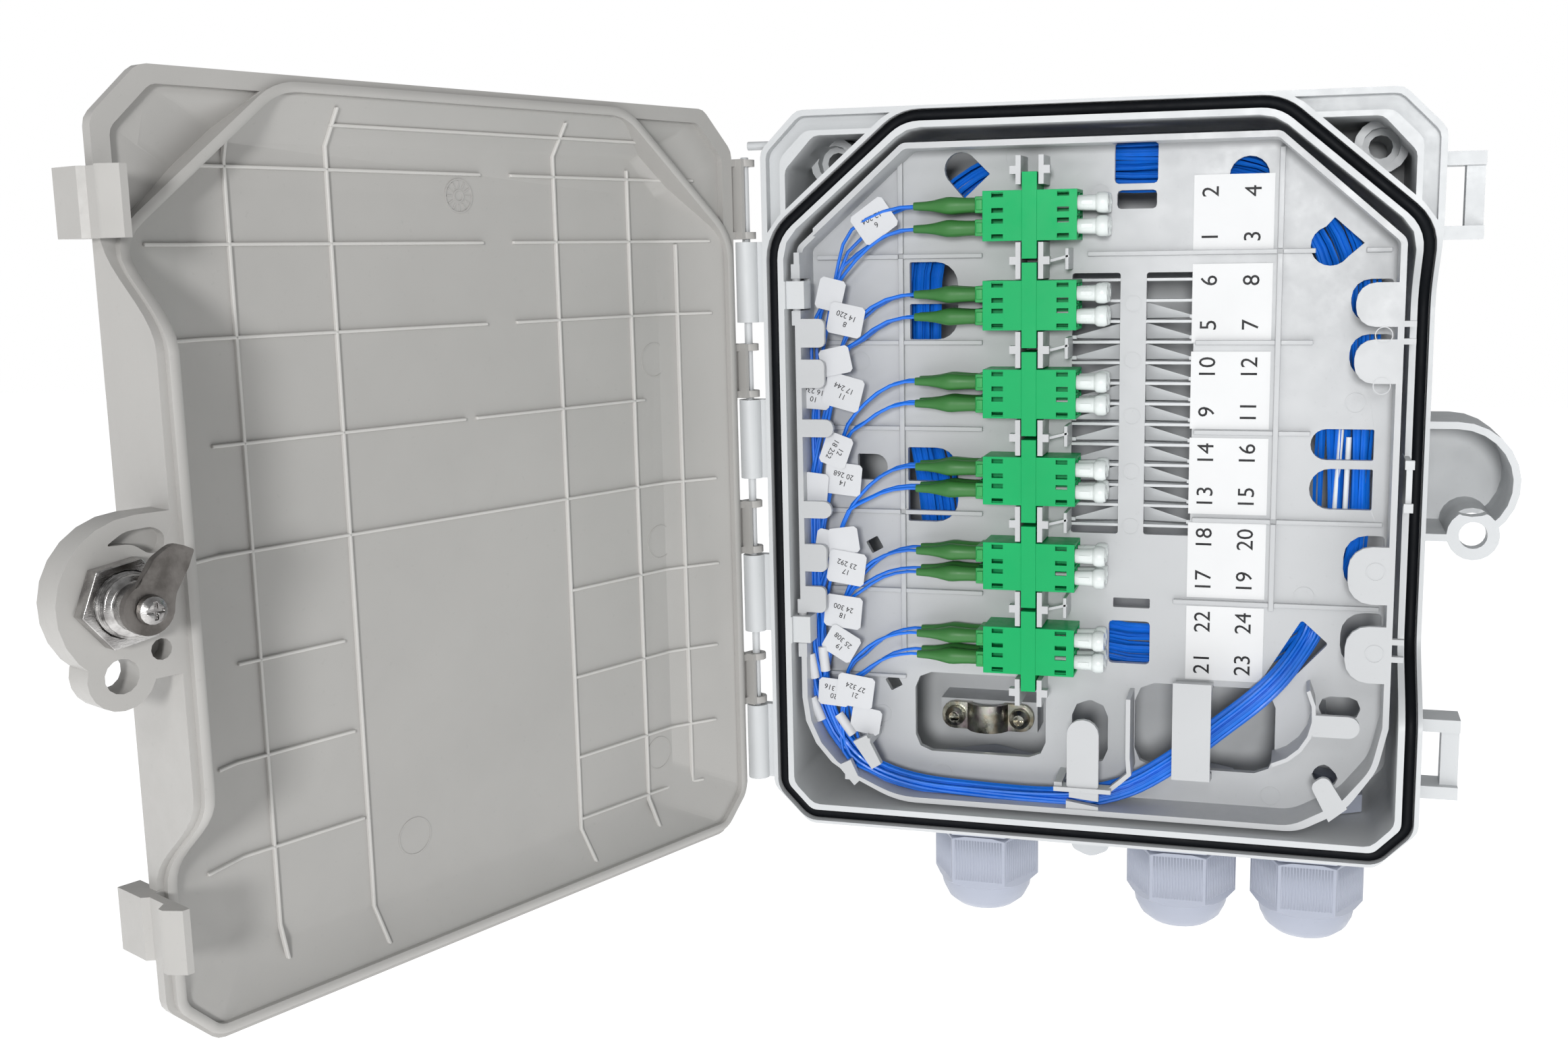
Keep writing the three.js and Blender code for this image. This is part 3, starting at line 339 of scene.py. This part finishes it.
# ---- pieces built in mesh code ----
class Mesh:
    """Gathers closed solids, drawn in rim millimetres, into one mesh."""

    def __init__(self, place=at_base):
        self.place = place
        self.verts = []
        self.faces = []

    def add(self, points, faces):
        """Adds a closed solid, with faces that count from its own first point."""
        start = len(self.verts)
        self.verts += [self.place(p) for p in points]
        self.faces += [tuple(start + i for i in f) for f in faces]

    def prism(self, outline, y0, y1):
        """A plate with an outline in x and z, from depth y0 to depth y1."""
        n = len(outline)
        points = [(x, y0, z) for x, z in outline] + [(x, y1, z) for x, z in outline]
        sides = [(i, (i + 1) % n, n + (i + 1) % n, n + i) for i in range(n)]
        self.add(points, [tuple(range(n))[::-1], tuple(range(n, 2 * n))] + sides)

    def box(self, x0, x1, y0, y1, z0, z1):
        self.prism([(x0, z0), (x1, z0), (x1, z1), (x0, z1)], y0, y1)

    def bar(self, a, b, width, y0, y1):
        """A straight rib from a to b, both (x, z)."""
        along = Vector((b[0] - a[0], b[1] - a[1])).normalized() * width / 2
        side = Vector((-along.y, along.x))
        ends = (Vector(a) + side, Vector(b) + side, Vector(b) - side, Vector(a) - side)
        self.prism([tuple(e) for e in ends][::-1], y0, y1)

    def ring(self, x, z, radius, width, y0, y1, sides=28):
        """A low circular ridge, as an ejector pin leaves."""
        points, faces = [], []
        for i in range(sides):
            a = 2 * math.pi * i / sides
            for r, y in ((radius, y1), (radius, y0), (radius - width, y0), (radius - width, y1)):
                points.append((x + r * math.cos(a), y, z + r * math.sin(a)))
        for i in range(sides):
            for j in range(4):
                k, m = (i + 1) % sides, (j + 1) % 4
                faces.append((4 * i + j, 4 * i + m, 4 * k + m, 4 * k + j))
        self.add(points, faces)

    def lathe(self, profile, origin, axis, sides):
        """Turns (radius, distance) pairs round the axis 'x' or 'y' through origin."""
        points, faces = [], []
        for r, d in profile:
            for i in range(sides):
                a = 2 * math.pi * i / sides
                u, v = r * math.cos(a), r * math.sin(a)
                p = (d, u, v) if axis == "x" else (u, d, v)
                points.append(tuple(o + q for o, q in zip(origin, p)))
        for j in range(len(profile) - 1):
            for i in range(sides):
                k = (i + 1) % sides
                faces.append((j * sides + i, j * sides + k, (j + 1) * sides + k, (j + 1) * sides + i))
        faces.append(tuple(range(sides))[::-1])
        faces.append(tuple(range((len(profile) - 1) * sides, len(profile) * sides)))
        self.add(points, faces)

    def tube(self, path, radius, sides, closed=False):
        """A round cord along a list of points."""
        path = [Vector(p) for p in path]
        n = len(path)
        points, faces = [], []
        side = None
        for i, p in enumerate(path):
            before = path[i - 1] if i or closed else p
            after = path[(i + 1) % n] if i < n - 1 or closed else p
            along = (after - before).normalized()
            guess = side if side is not None else along.orthogonal()
            side = (guess - along * guess.dot(along)).normalized()
            other = along.cross(side)
            for j in range(sides):
                a = 2 * math.pi * j / sides
                points.append(tuple(p + radius * (math.cos(a) * side + math.sin(a) * other)))
        for i in range(n if closed else n - 1):
            k = (i + 1) % n
            for j in range(sides):
                m = (j + 1) % sides
                faces.append((i * sides + j, i * sides + m, k * sides + m, k * sides + j))
        if not closed:
            faces.append(tuple(range(sides))[::-1])
            faces.append(tuple(range((n - 1) * sides, n * sides)))
        self.add(points, faces)

    def done(self, name, body, slot, material=None, stands_for=(), bevel=0.0, smooth=True):
        """Makes the object, which rides on body and stands for the CAD nodes that it replaces."""
        data = bpy.data.meshes.new(name)
        data.from_pydata(self.verts, [], self.faces)
        shape = bmesh.new()
        shape.from_mesh(data)
        bmesh.ops.recalc_face_normals(shape, faces=shape.faces)
        for edge in shape.edges:
            edge.smooth = len(edge.link_faces) == 2 and edge.calc_face_angle(0) < SHARP
        shape.to_mesh(data)
        shape.free()
        data.materials.append(material or MATERIALS[slot])
        data.polygons.foreach_set("use_smooth", [smooth] * len(data.polygons))
        obj = bpy.data.objects.new(name, data)
        bpy.context.scene.collection.objects.link(obj)
        if bevel:
            soften(obj, bevel)
        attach(obj, body)
        if stands_for:
            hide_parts(*stands_for)
        return obj


def soften(obj, width):
    """Rounds the sharp edges of an object by a width in millimetres and shades it evenly."""
    bevel = obj.modifiers.new("edges", "BEVEL")
    bevel.width = width * MM
    bevel.segments = 2
    bevel.limit_method = "ANGLE"
    bevel.angle_limit = SHARP
    bevel.use_clamp_overlap = True
    normals = obj.modifiers.new("normals", "WEIGHTED_NORMAL")
    normals.keep_sharp = False
    normals.weight = 60


def smooth_path(points, count):
    """Points spread evenly along a smooth curve through the given ones."""
    pts = [Vector(p) for p in points]
    pts = [2 * pts[0] - pts[1]] + pts + [2 * pts[-1] - pts[-2]]
    fine = []
    for i in range(1, len(pts) - 2):
        p0, p1, p2, p3 = pts[i - 1:i + 3]
        for j in range(12):
            t = j / 12
            fine.append(0.5 * (2 * p1 + (p2 - p0) * t + (2 * p0 - 5 * p1 + 4 * p2 - p3) * t ** 2
                               + (3 * p1 - p0 - 3 * p2 + p3) * t ** 3))
    fine.append(pts[-2])
    length = [0.0]
    for a, b in zip(fine, fine[1:]):
        length.append(length[-1] + (b - a).length)
    out, i = [], 0
    for k in range(count):
        want = length[-1] * k / (count - 1)
        while i < len(fine) - 2 and length[i + 1] < want:
            i += 1
        step = length[i + 1] - length[i] or 1
        out.append(fine[i].lerp(fine[i + 1], (want - length[i]) / step))
    return out


def digits(name, text, x, z, height, y, turn=90, body="tray"):
    """Printed figures lying on a face at depth y, turned by so many degrees."""
    curve = bpy.data.curves.new(name, "FONT")
    curve.body = text
    curve.size = height * 1.37 * MM
    curve.align_x = "CENTER"
    curve.align_y = "CENTER"
    curve.extrude = INK_THICK * MM / 2
    curve.resolution_u = 3
    holder = bpy.data.objects.new(name, curve)
    data = bpy.data.meshes.new_from_object(holder)
    bpy.data.objects.remove(holder)
    facing = Matrix.Rotation(math.radians(90), 4, "X")
    turned = Matrix.Rotation(math.radians(turn), 4, "Z")
    data.transform(Matrix.Translation(at_base((x, y, z))) @ facing @ turned)
    data.materials.clear()
    data.materials.append(INK)
    obj = bpy.data.objects.new(name, data)
    bpy.context.scene.collection.objects.link(obj)
    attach(obj, body)


# every CAD node takes the look of its slot, with softly broken edges
SLOT_OF = {row["node"]: row["material_slot"] for row in frame["record"]["subparts"]}
EDGE = {"base_shell": 0.35, "door_shell": 0.4, "swing_tray": 0.25, "gasket": 0, "lock_barrel": 0.3,
        "lock_nut": 0.3, "cam_lever": 0.15, "cam_screw": 0.12, "clamp_saddle": 0.15}
EDGE.update({f"lc_adapter_{k}": 0.08 for k in range(1, 7)})
MANY_HOLES = ("base_shell", "door_shell", "swing_tray")
WELD_REACH = 2e-6
FLAT_WITHIN = math.radians(0.8)


def finish_node(name, obj):
    """Material, shading and rounded edges of one CAD node."""
    obj.data.materials.clear()
    obj.data.materials.append(STEEL_LEVER if name == "cam_lever" else MATERIALS[SLOT_OF[name]])
    rounded = not name.startswith("lc_adapter")
    obj.data.polygons.foreach_set("use_smooth", [rounded] * len(obj.data.polygons))
    weld = obj.modifiers.new("weld", "WELD")
    weld.merge_threshold = WELD_REACH
    if name not in MANY_HOLES:
        flat = obj.modifiers.new("flat", "DECIMATE")
        flat.decimate_type = "DISSOLVE"
        flat.angle_limit = FLAT_WITHIN
    if EDGE.get(name, 0.2) > 0:
        soften(obj, EDGE.get(name, 0.2))


for node_name, node_obj in NODES.items():
    finish_node(node_name, node_obj)


# ---- swing tray: ribs, ejector marks, fins and number labels ----
ADAPTERS = [(k + 1, ADAPTER_TOP - PITCH * k) for k in range(6)]


def tray_ribs():
    """A grid of shallow ribs on the tray's floor, left out at its windows and under the adapters."""
    m = Mesh()
    front, back, half = TRAY_FLOOR - 1.3, TRAY_FLOOR + 0.3, 0.6
    left, right = (-51.1, -49.7), (46.2, 47.6)
    for x0, x1, low in ((*left, -50), (*right, -34)):
        for z0, z1 in ((58.6, 83.5), (-9.9, 57.4), (low, -11.2)):
            m.box(x0, x1, front, back, z0, z1)
    for z, spans in (
        (57.9, ((-1, right[0]), (right[1], 55.4), (67.4, TRAY_WALL))),
        (35.2, ((26.5, right[0]), (right[1], 55.4))),
        (12.2, ((26.5, right[0]), (right[1], 55.4))),
        (-10.6, ((26.5, right[0]), (right[1], TRAY_WALL))),
        (-32.4, ((22, right[0]), (right[1], TRAY_WALL))),
    ):
        for x0, x1 in ((-TRAY_WALL, left[0]), (left[1], -28.5), *spans):
            m.box(x0, x1, front, back, z - half, z + half)
    m.box(-76.5, -50, front, back, -57.2, -56.2)
    m.done("tray_ribs", "tray", "tray_plastic", bevel=0.2)
    marks = Mesh()
    for x, z in ((-62, 30), (-62, 70), (2, 73), (66, 20), (-40, -84), (55, -30), (-20, 83), (48, -84),
                 (-57, -68)):
        marks.ring(x, z, 2.6, 0.25, TRAY_FLOOR - 0.12, TRAY_FLOOR + 0.2)
    marks.done("tray_ejector_marks", "tray", "tray_plastic")


def comb_fins():
    """Fins and sloping leaf springs of the comb, seen through its windows."""
    m = Mesh()
    near = TRAY_FLOOR + 0.15
    for k in range(13):
        z = COMB_TOP - COMB_PITCH * k
        for x0, x1 in COMB_X:
            m.box(x0, x1, near, near + 5, z - 0.35, z + 0.35)
        if 0 < k < 12:
            # a leaf is broad at the spine between the rows, with a small peg at its tip
            for spine, tip in ((COMB_X[0][1], -3.8), (COMB_X[1][0], 25)):
                leaf = [(spine, near + 3.4, z - 0.5), (spine, near + 5, z - 4.7),
                        (tip, near + 1.2, z - 4.3), (tip, near + 0.9, z - 3.6)]
                m.add(leaf + [(px, py + 0.6, pz) for px, py, pz in leaf],
                      [(3, 2, 1, 0), (4, 5, 6, 7), (0, 1, 5, 4), (1, 2, 6, 5), (2, 3, 7, 6), (3, 0, 4, 7)])
                peg = sorted((tip, tip + math.copysign(1.4, tip)))
                m.box(*peg, near, near + 2, z - 4.5, z - 3.6)
    # the fins are painted lighter than the tray they belong to, painted light in the shade behind its floor
    m.done("comb_fins", "tray", "tray_plastic", FIN_PAINTED_LIGHT, smooth=False)
    marks = Mesh()
    for k in range(5):
        marks.ring(10.7, 45 - 14.5 * k, 2.2, 0.22, TRAY_FLOOR - 0.1, TRAY_FLOOR + 0.2)
    for x, z, r in ((71.7, -20.4, 2.3), (72.1, -41.1, 2.3), (71.6, 37.6, 2.1), (71.5, 25.4, 2.1)):
        marks.ring(x, z, r, 0.22, TRAY_FRONT - 0.1, TRAY_FRONT + 0.2)
    marks.done("comb_marks", "tray", "tray_plastic")


def holder_arms():
    """Thin arms from the adapter holder to the edge of the comb."""
    m = Mesh()
    for k in range(5):
        z = ADAPTER_TOP - PITCH * (k + 0.5)
        m.bar((ADAPTER_X + 4.4, z - 0.3), (-4.6, z + 1.1), 0.8, 6.5, 7.6)
        m.bar((-5.2, z - 2.4), (-5.2, z + 3), 0.9, 6.5, TRAY_FLOOR + 0.3)
    m.done("holder_arms", "tray", "tray_plastic", bevel=0.15)


def number_labels():
    """Six plates with four printed numbers each, turned to read from the right."""
    tops = [LABEL_TOP - LABEL_PITCH * k for k in range(6)]
    m = Mesh()
    for top in tops:
        m.box(*LABEL_X, TRAY_FLOOR - 0.2, TRAY_FLOOR + 0.02, top - LABEL_TALL, top)
    m.done("number_labels", "tray", "tray_plastic", PAPER, smooth=False)
    for k, top in enumerate(tops):
        for i, (dx, dz) in enumerate(((4.3, -15.4), (4.3, -4.2), (14.7, -15.4), (14.7, -4.2))):
            number = 4 * k + i + 1
            digits(f"number_{number}", str(number), LABEL_X[0] + dx, top + dz, 4.3, TRAY_FLOOR - 0.22)


# ---- adapters, plugs, boots and dust caps ----
def adapter_slots():
    """Cuts eight narrow slots into the face of each adapter."""
    for k, z in ADAPTERS:
        m = Mesh()
        for x0 in (ADAPTER_X - 9.7, ADAPTER_X + 7.0):
            for dz in (-5.2, -1.35, 1.35, 5.2):
                m.box(x0, x0 + 3.0, ADAPTER_FACE - 2, ADAPTER_FACE + 1.1, z + dz - 0.6, z + dz + 0.6)
        cutter = m.done(f"adapter_{k}_slots", "tray", "adapter_plastic", smooth=False)
        cutter.hide_render = True
        cutter.hide_viewport = True
        holes = NODES[f"lc_adapter_{k}"].modifiers.new("slots", "BOOLEAN")
        holes.object = cutter
        holes.operation = "DIFFERENCE"


# radius and place along x of a strain-relief boot, from the fibre's end to the plug
BOOT = ((0.75, -44.8), (1.0, -44.9), (1.05, -44.5), (1.2, -41.6), (1.5, -39.4), (1.95, -37.4), (2.2, -36.2),
        (2.22, -35), (2.05, -33.2), (1.9, -30.6), (1.9, -28.4), (0.8, -28.3))


def plugs():
    """Two boots and two plug bodies, each with its latch, at every layer of every adapter."""
    for k, z in ADAPTERS:
        for layer, y in zip(("front", "rear"), LAYERS):
            boots = Mesh()
            bodies = Mesh()
            for row in ROWS:
                boots.lathe(BOOT, (0, y, z + row), "x", 18)
                bodies.box(-28.5, -26.2, y - 2.3, y + 2.2, z + row - 2.1, z + row + 2.1)
                bodies.box(-28.2, -26.4, y - 2.9, y - 2.1, z + row - 1.3, z + row + 1.3)
            boots.done(f"boots_{k}_{layer}", "tray", "plug_plastic", stands_for=[f"lc_plug_{k}_{layer}"])
            bodies.done(f"plug_bodies_{k}_{layer}", "tray", "plug_plastic", BRIGHT_GREEN, bevel=0.25)


def dust_caps():
    """Turned dust caps in the free ports, each with a small key rib, as long as their CAD nodes."""
    for k, z in ADAPTERS:
        for layer, y in zip(("front", "rear"), LAYERS):
            node = f"dust_cap_{k}_{layer}"
            low, high = (c[0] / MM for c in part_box(node))
            profile = ((0.9, low + 0.4), (1.3, low + 0.05), (1.3, low + 7), (1.85, low + 7.3),
                       (2.0, low + 11.8), (2.5, low + 12.3), (2.65, low + 12.9), (2.65, high - 0.8),
                       (2.3, high - 0.05), (1.2, high - 0.1), (0.9, high - 2))
            m = Mesh()
            for row in ROWS:
                m.lathe(profile, (0, y, z + row), "x", 18)
                m.box(low + 8.4, low + 11.2, y - 2.2, y - 1.5, z + row - 0.5, z + row + 0.5)
            m.done(f"dust_caps_{k}_{layer}", f"cap_{k}_{layer}", "cap_plastic", stands_for=[node])


# ---- blue pigtails ----
# the middle of their common bundle, down the left side, along the bottom and through a window
TRUNK = ((-72.6, 10.6, 49), (-73, 10.6, 40), (-73.4, 10.6, 20), (-73.6, 10.6, 0), (-73.8, 10.4, -20),
         (-74, 10, -42), (-73, 9.6, -57), (-70.4, 9.4, -67), (-65.8, 9.3, -75.2), (-57.8, 9.2, -81.6),
         (-45, 8.9, -85), (-28, 8.7, -86), (-12, 8.6, -86.2), (0, 8.7, -85.6), (12, 9.4, -82),
         (24, 10.2, -74.2), (35, 10.6, -64.8), (44, 11.4, -57), (49.8, 13.6, -51.2), (54.2, 16.8, -45.4),
         (57.6, 20.2, -39.6), (60.5, 21.6, -28), (62.5, 21.8, -10))


def spread(place, seed, wide, deep):
    """Offset for one fibre of a loose bundle at a place along it."""
    turn = seed * GOLDEN_ANGLE + 0.5 * math.sin(place * 0.045 + seed)
    reach = math.sqrt((seed % FIBRES + 0.5) / FIBRES)
    return Vector((math.cos(turn) * reach * wide, math.sin(turn) * reach * deep, 0))


def pigtail_path(z, layer, row, seed):
    """Points from a plug at height z + row and depth layer down into the bundle."""
    wobble = random.Random(40 + seed)
    join = z - 15 - wobble.uniform(0, 9)
    bulge = wobble.uniform(-1.8, 1.8)
    path = [(-43.6, layer, z + row), (-47.2, layer, z + row),
            (-53.5, layer + 0.3, z + row - 1.6 + bulge * 0.3),
            (-59.8, layer * 0.7 + 2.6, z + row - 5.8 + bulge),
            (-65.4, 9.4, z + row * 0.6 - 12.6 + bulge * 1.4)]
    line = [Vector(p) for p in TRUNK if p[2] < join - 9 or p[1] > 11.1 or p[0] > -60]
    for i, p in enumerate(line):
        far = (p - Vector(TRUNK[0])).length
        loose = 1.4 * math.exp(-((p.z + 52) / 22) ** 2) if p.x < -50 else 0
        off = spread(far, seed, 2.5 + loose if p.x < 0 else 3.1, 1.9)
        ahead = (line[min(i + 1, len(line) - 1)] - line[max(i - 1, 0)]).normalized()
        across = Vector((-ahead.z, 0, ahead.x))
        path.append(tuple(p + across * off.x + Vector((0, off.y, 0))))
    return path


def pigtails():
    """One fibre from each of the 24 plugs."""
    m = Mesh()
    for k, z in ADAPTERS:
        for j, (layer, row) in enumerate((a, b) for a in LAYERS for b in ROWS):
            path = pigtail_path(z, layer, row, 4 * (k - 1) + j)
            m.tube(smooth_path(path, 70), FIBRE_RADIUS, 6)
    m.done("pigtails", "tray", "fibre_jacket", stands_for=["pigtail_harness"])


def fibre_loops():
    """Loose turns of the same fibre stored behind the tray, and two splice sleeves on them."""
    m = Mesh()
    chance = random.Random(7)
    points = 96
    for turn in range(COIL_TURNS):
        shift = -6 + 12 * ((turn * 7) % COIL_TURNS) / (COIL_TURNS - 1)
        depth = 19.8 + 1.1 * (turn % 4)
        skew = [chance.uniform(-0.9, 0.9) for _ in range(4)]
        ring = []
        for i in range(points):
            a = 2 * math.pi * i / points
            stray = skew[0] * math.sin(2 * a + skew[1]) + skew[2] * math.sin(3 * a + skew[3])
            x, z = coil_point(a, shift + stray)
            ring.append((x, depth + 0.25 * math.sin(5 * a + turn), z))
        m.tube(ring, FIBRE_RADIUS, 5, closed=True)
    m.done("fibre_loops", "tray", "fibre_jacket", stands_for=["fibre_coil"])
    sleeves = Mesh()
    for x, z, lean in ((62.3, -1, 1.4), (64.6, -3, 0.6)):
        path = [(x + lean * 0.5, 19.9, z + 14), (x, 19.8, z), (x - lean * 0.5, 19.9, z - 14)]
        sleeves.tube(smooth_path(path, 9), 0.7, 10)
    sleeves.done("splice_sleeves", "tray", "tray_plastic", SLEEVE)


def coil_point(angle, shift):
    """A point of the rounded square that the coil follows, moved outwards by shift."""
    dx, dz = math.cos(angle), math.sin(angle)
    # the left side has tighter corners and less spread, and the lower left corner is cut short
    left = max(0, -dx)
    shift = shift * (1 - 0.2 * left) + left * (2.1 - 12 * max(0, -dz - 0.02))
    half_x, half_z, corner = 54 + shift, 63 + shift, 34 - 5 * left + shift
    core_x, core_z = half_x - corner, half_z - corner
    # halves the distance from the middle until it meets the outline
    low, high = 0.0, 200.0
    for _ in range(30):
        t = (low + high) / 2
        gap = math.hypot(max(abs(dx * t) - core_x, 0), max(abs(dz * t) - core_z, 0)) - corner
        low, high = (t, high) if gap < 0 else (low, t)
    return COIL_MIDDLE[0] + dx * low, COIL_MIDDLE[1] + dz * low


# middle in x and z, lean in degrees and half the length of each marker flag
FLAGS = ((-55.6, 67.2, 35, 5.2), (-67.7, 48.3, 76, 4.2), (-63.5, 41.6, -12, 4.8), (-66.4, 30.8, 12, 4.2),
         (-72.8, 21.7, -4, 4.4), (-64.6, 22.5, -15, 5.2), (-66.7, 6.9, 70, 4.4), (-72.5, -3.3, 84, 4),
         (-65, -0.9, -6, 5), (-69.8, -18.4, 80, 3.6), (-65, -17.6, 8, 4.2), (-64.2, -25, -8, 5.2),
         (-65.6, -37.4, -6, 5.2), (-66.2, -46.3, -30, 4.6), (-68.4, -60, -4, 4.4), (-62.3, -59.3, -8, 5.2),
         (-59.6, -67.7, -10, 4.2))


def flags():
    """Marker flags: thin printed plates with a sleeve round their fibre, and four rolled ones."""
    m = Mesh()
    for i, (x, z, lean, long) in enumerate(FLAGS):
        a = math.radians(lean)
        y = FLAG_DEPTH - 0.3 * (i % 4)
        tall, corner = long * 0.86, 0.8
        along, up = Vector((math.cos(a), math.sin(a))), Vector((-math.sin(a), math.cos(a)))
        ends, sides = (long, tall - corner), (long - corner, tall)
        shape = []
        for sx, sz in ((-1, -1), (1, -1), (1, 1), (-1, 1)):
            for cx, cz in ((ends, sides) if sx * sz > 0 else (sides, ends)):
                shape.append(Vector((x, z)) + along * cx * sx + up * cz * sz)
        m.prism([tuple(p) for p in shape], y, y + 0.16)
        m.tube([tuple((x + along.x * s, y + 1.4, z + along.y * s)) for s in (-2.6, 0, 2.6)], 0.75, 8)
    m.done("fibre_flags", "tray", "tray_plastic", FLAG, smooth=False)
    rolls = Mesh()
    for x, z, lean in ((-74.6, -53.1, -80), (-71.3, -50.9, -84), (-73.6, -65.2, -68), (-65.4, -69.1, -54)):
        a = math.radians(lean)
        dx, dz = math.cos(a) * 3.4, math.sin(a) * 3.4
        rolls.tube([(x - dx, 7.6, z - dz), (x, 7.5, z), (x + dx, 7.6, z + dz)], 1.35, 14)
    rolls.done("rolled_flags", "tray", "tray_plastic", FLAG)
    for i, (x, z, lean, long) in enumerate(FLAGS):
        if long < 4.3:
            continue
        a = math.radians(lean)
        y = FLAG_DEPTH - 0.03 - 0.3 * (i % 4)
        for line, text in ((1.1, f"{12 + i} {204 + 8 * i}"), (-1.1, f"{6 + i}")):
            digits(f"flag_{i + 1}_{'low' if line > 0 else 'high'}", text, x - math.sin(a) * line,
                   z + math.cos(a) * line, 1.5, y, lean + 170)


# ---- door: ribs and marks on its inner face ----
def door_depth(x, z):
    """Depth of the door's inner face: flat in the middle, rising to the rim all round."""
    (flat_x, flat_z), (slope_x, slope_z) = DOOR_FLAT, DOOR_SLOPE
    return DOOR_FACE - DOOR_FACE * max((abs(x) - flat_x) / slope_x, (abs(z) - flat_z) / slope_z, 0)


def door_rib(m, a, b, width=0.9, height=0.75):
    """A rib from a to b, both (x, z), that follows the inner face."""
    steps = 24
    along = Vector((b[0] - a[0], b[1] - a[1])).normalized() * width / 2
    ring = []
    for i in range(steps + 1):
        x, z = a[0] + (b[0] - a[0]) * i / steps, a[1] + (b[1] - a[1]) * i / steps
        y = door_depth(x, z)
        for side, top in ((1, -0.4), (-1, -0.4), (-0.75, height), (0.75, height)):
            ring.append((x - along.y * side, y + top, z + along.x * side))
    faces = [(0, 1, 2, 3), tuple(4 * steps + j for j in (3, 2, 1, 0))]
    for i in range(steps):
        for j in range(4):
            k = (j + 1) % 4
            faces.append((4 * i + j, 4 * (i + 1) + j, 4 * (i + 1) + k, 4 * i + k))
    m.add(ring, faces)


def door_ribs():
    """Thin stiffening ribs, faint ejector marks and the plain dial on the door's inner face."""
    m = Mesh(at_door)
    for x0, x1, z in ((-7.5, 65, 77.8), (-7.5, 75, 62.7), (-7.5, 76, 44.4), (0, 62, 23.2), (-76, 76, 1.2),
                      (35, 60, -21.5), (34, 67, -41.8), (33, 72, -61.8), (-72, -16, 77.8), (-76, -16, 62.7),
                      (-76, -16, 44.4), (-56, -3, 23.2), (-76, -29, -21.5), (-75, -29, -43.5),
                      (-74, -29, -64), (-70, -29, -80), (-60, 32.5, 86.6)):
        door_rib(m, (x0, z), (x1, z))
    for x, z0, z1 in ((55, -86, 86), (32, -90, 90), (-29, -90, 90), (-52.5, -88, 80), (-67, -80, 62)):
        door_rib(m, (x, z0), (x, z1))
    # the ribs are painted lighter than the door they are moulded on, a painted highlight on their lit edges
    m.done("door_ribs", "door", "door_plastic", RIB_PAINTED_HIGHLIGHT, bevel=0.2)
    marks = Mesh(at_door)
    for x, z in ((20, -70), (-57, -70), (-60, 33), (-60, -14)):
        marks.ring(x, z, 4.4, 0.3, DOOR_FACE - 0.2, DOOR_FACE + 0.12)
    dial_x, dial_z = DIAL_AT
    for radius in (3.8, 1.4):
        marks.ring(dial_x, dial_z, radius, 0.3, DOOR_FACE - 0.2, DOOR_FACE + 0.2)
    for i in range(12):
        a = 2 * math.pi * i / 12
        inner, outer = ((dial_x + r * math.cos(a), dial_z + r * math.sin(a)) for r in (1.9, 3.3))
        marks.bar(inner, outer, 0.3, DOOR_FACE - 0.2, DOOR_FACE + 0.15)
    marks.done("door_marks", "door", "door_plastic")


# ---- cable glands: grip ribs round each nut ----
def gland_grips():
    """17 thin upright ribs on each of the six faces of a gland's nut."""
    for n, x in enumerate(GLAND_X, 1):
        m = Mesh()
        for face in range(6):
            a = math.radians(90 + 60 * face)
            out, side = Vector((math.cos(a), math.sin(a))), Vector((-math.sin(a), math.cos(a)))
            for i in range(17):
                c = out * 12.9 + side * 0.8 * (i - 8)
                m.tube([(x + c.x, GLAND_Y + c.y, z) for z in GRIP_Z], 0.3, 6)
        m.done(f"gland_grip_{n}", f"gland_{n}", "gland_plastic")


# ---- lock: rolled thread round the barrel ----
def lock_thread():
    """Turned ridges along the barrel, from its nut to the lever."""
    m = Mesh(at_door)
    profile = [(5.2, 9.6)]
    for i in range(18):
        y = 9.8 + 0.7 * i
        profile += [(5.55, y), (5.88, y + 0.2), (5.88, y + 0.35), (5.55, y + 0.55)]
    profile += [(5.5, 22.4), (5.2, 22.65)]
    m.lathe(profile, (LOCK_AT[0], 0, LOCK_AT[1]), "y", 28)
    m.done("lock_thread", "door", "lock_chrome", THREAD)


tray_ribs()
comb_fins()
holder_arms()
number_labels()
adapter_slots()
plugs()
dust_caps()
pigtails()
fibre_loops()
flags()
door_ribs()
gland_grips()
lock_thread()
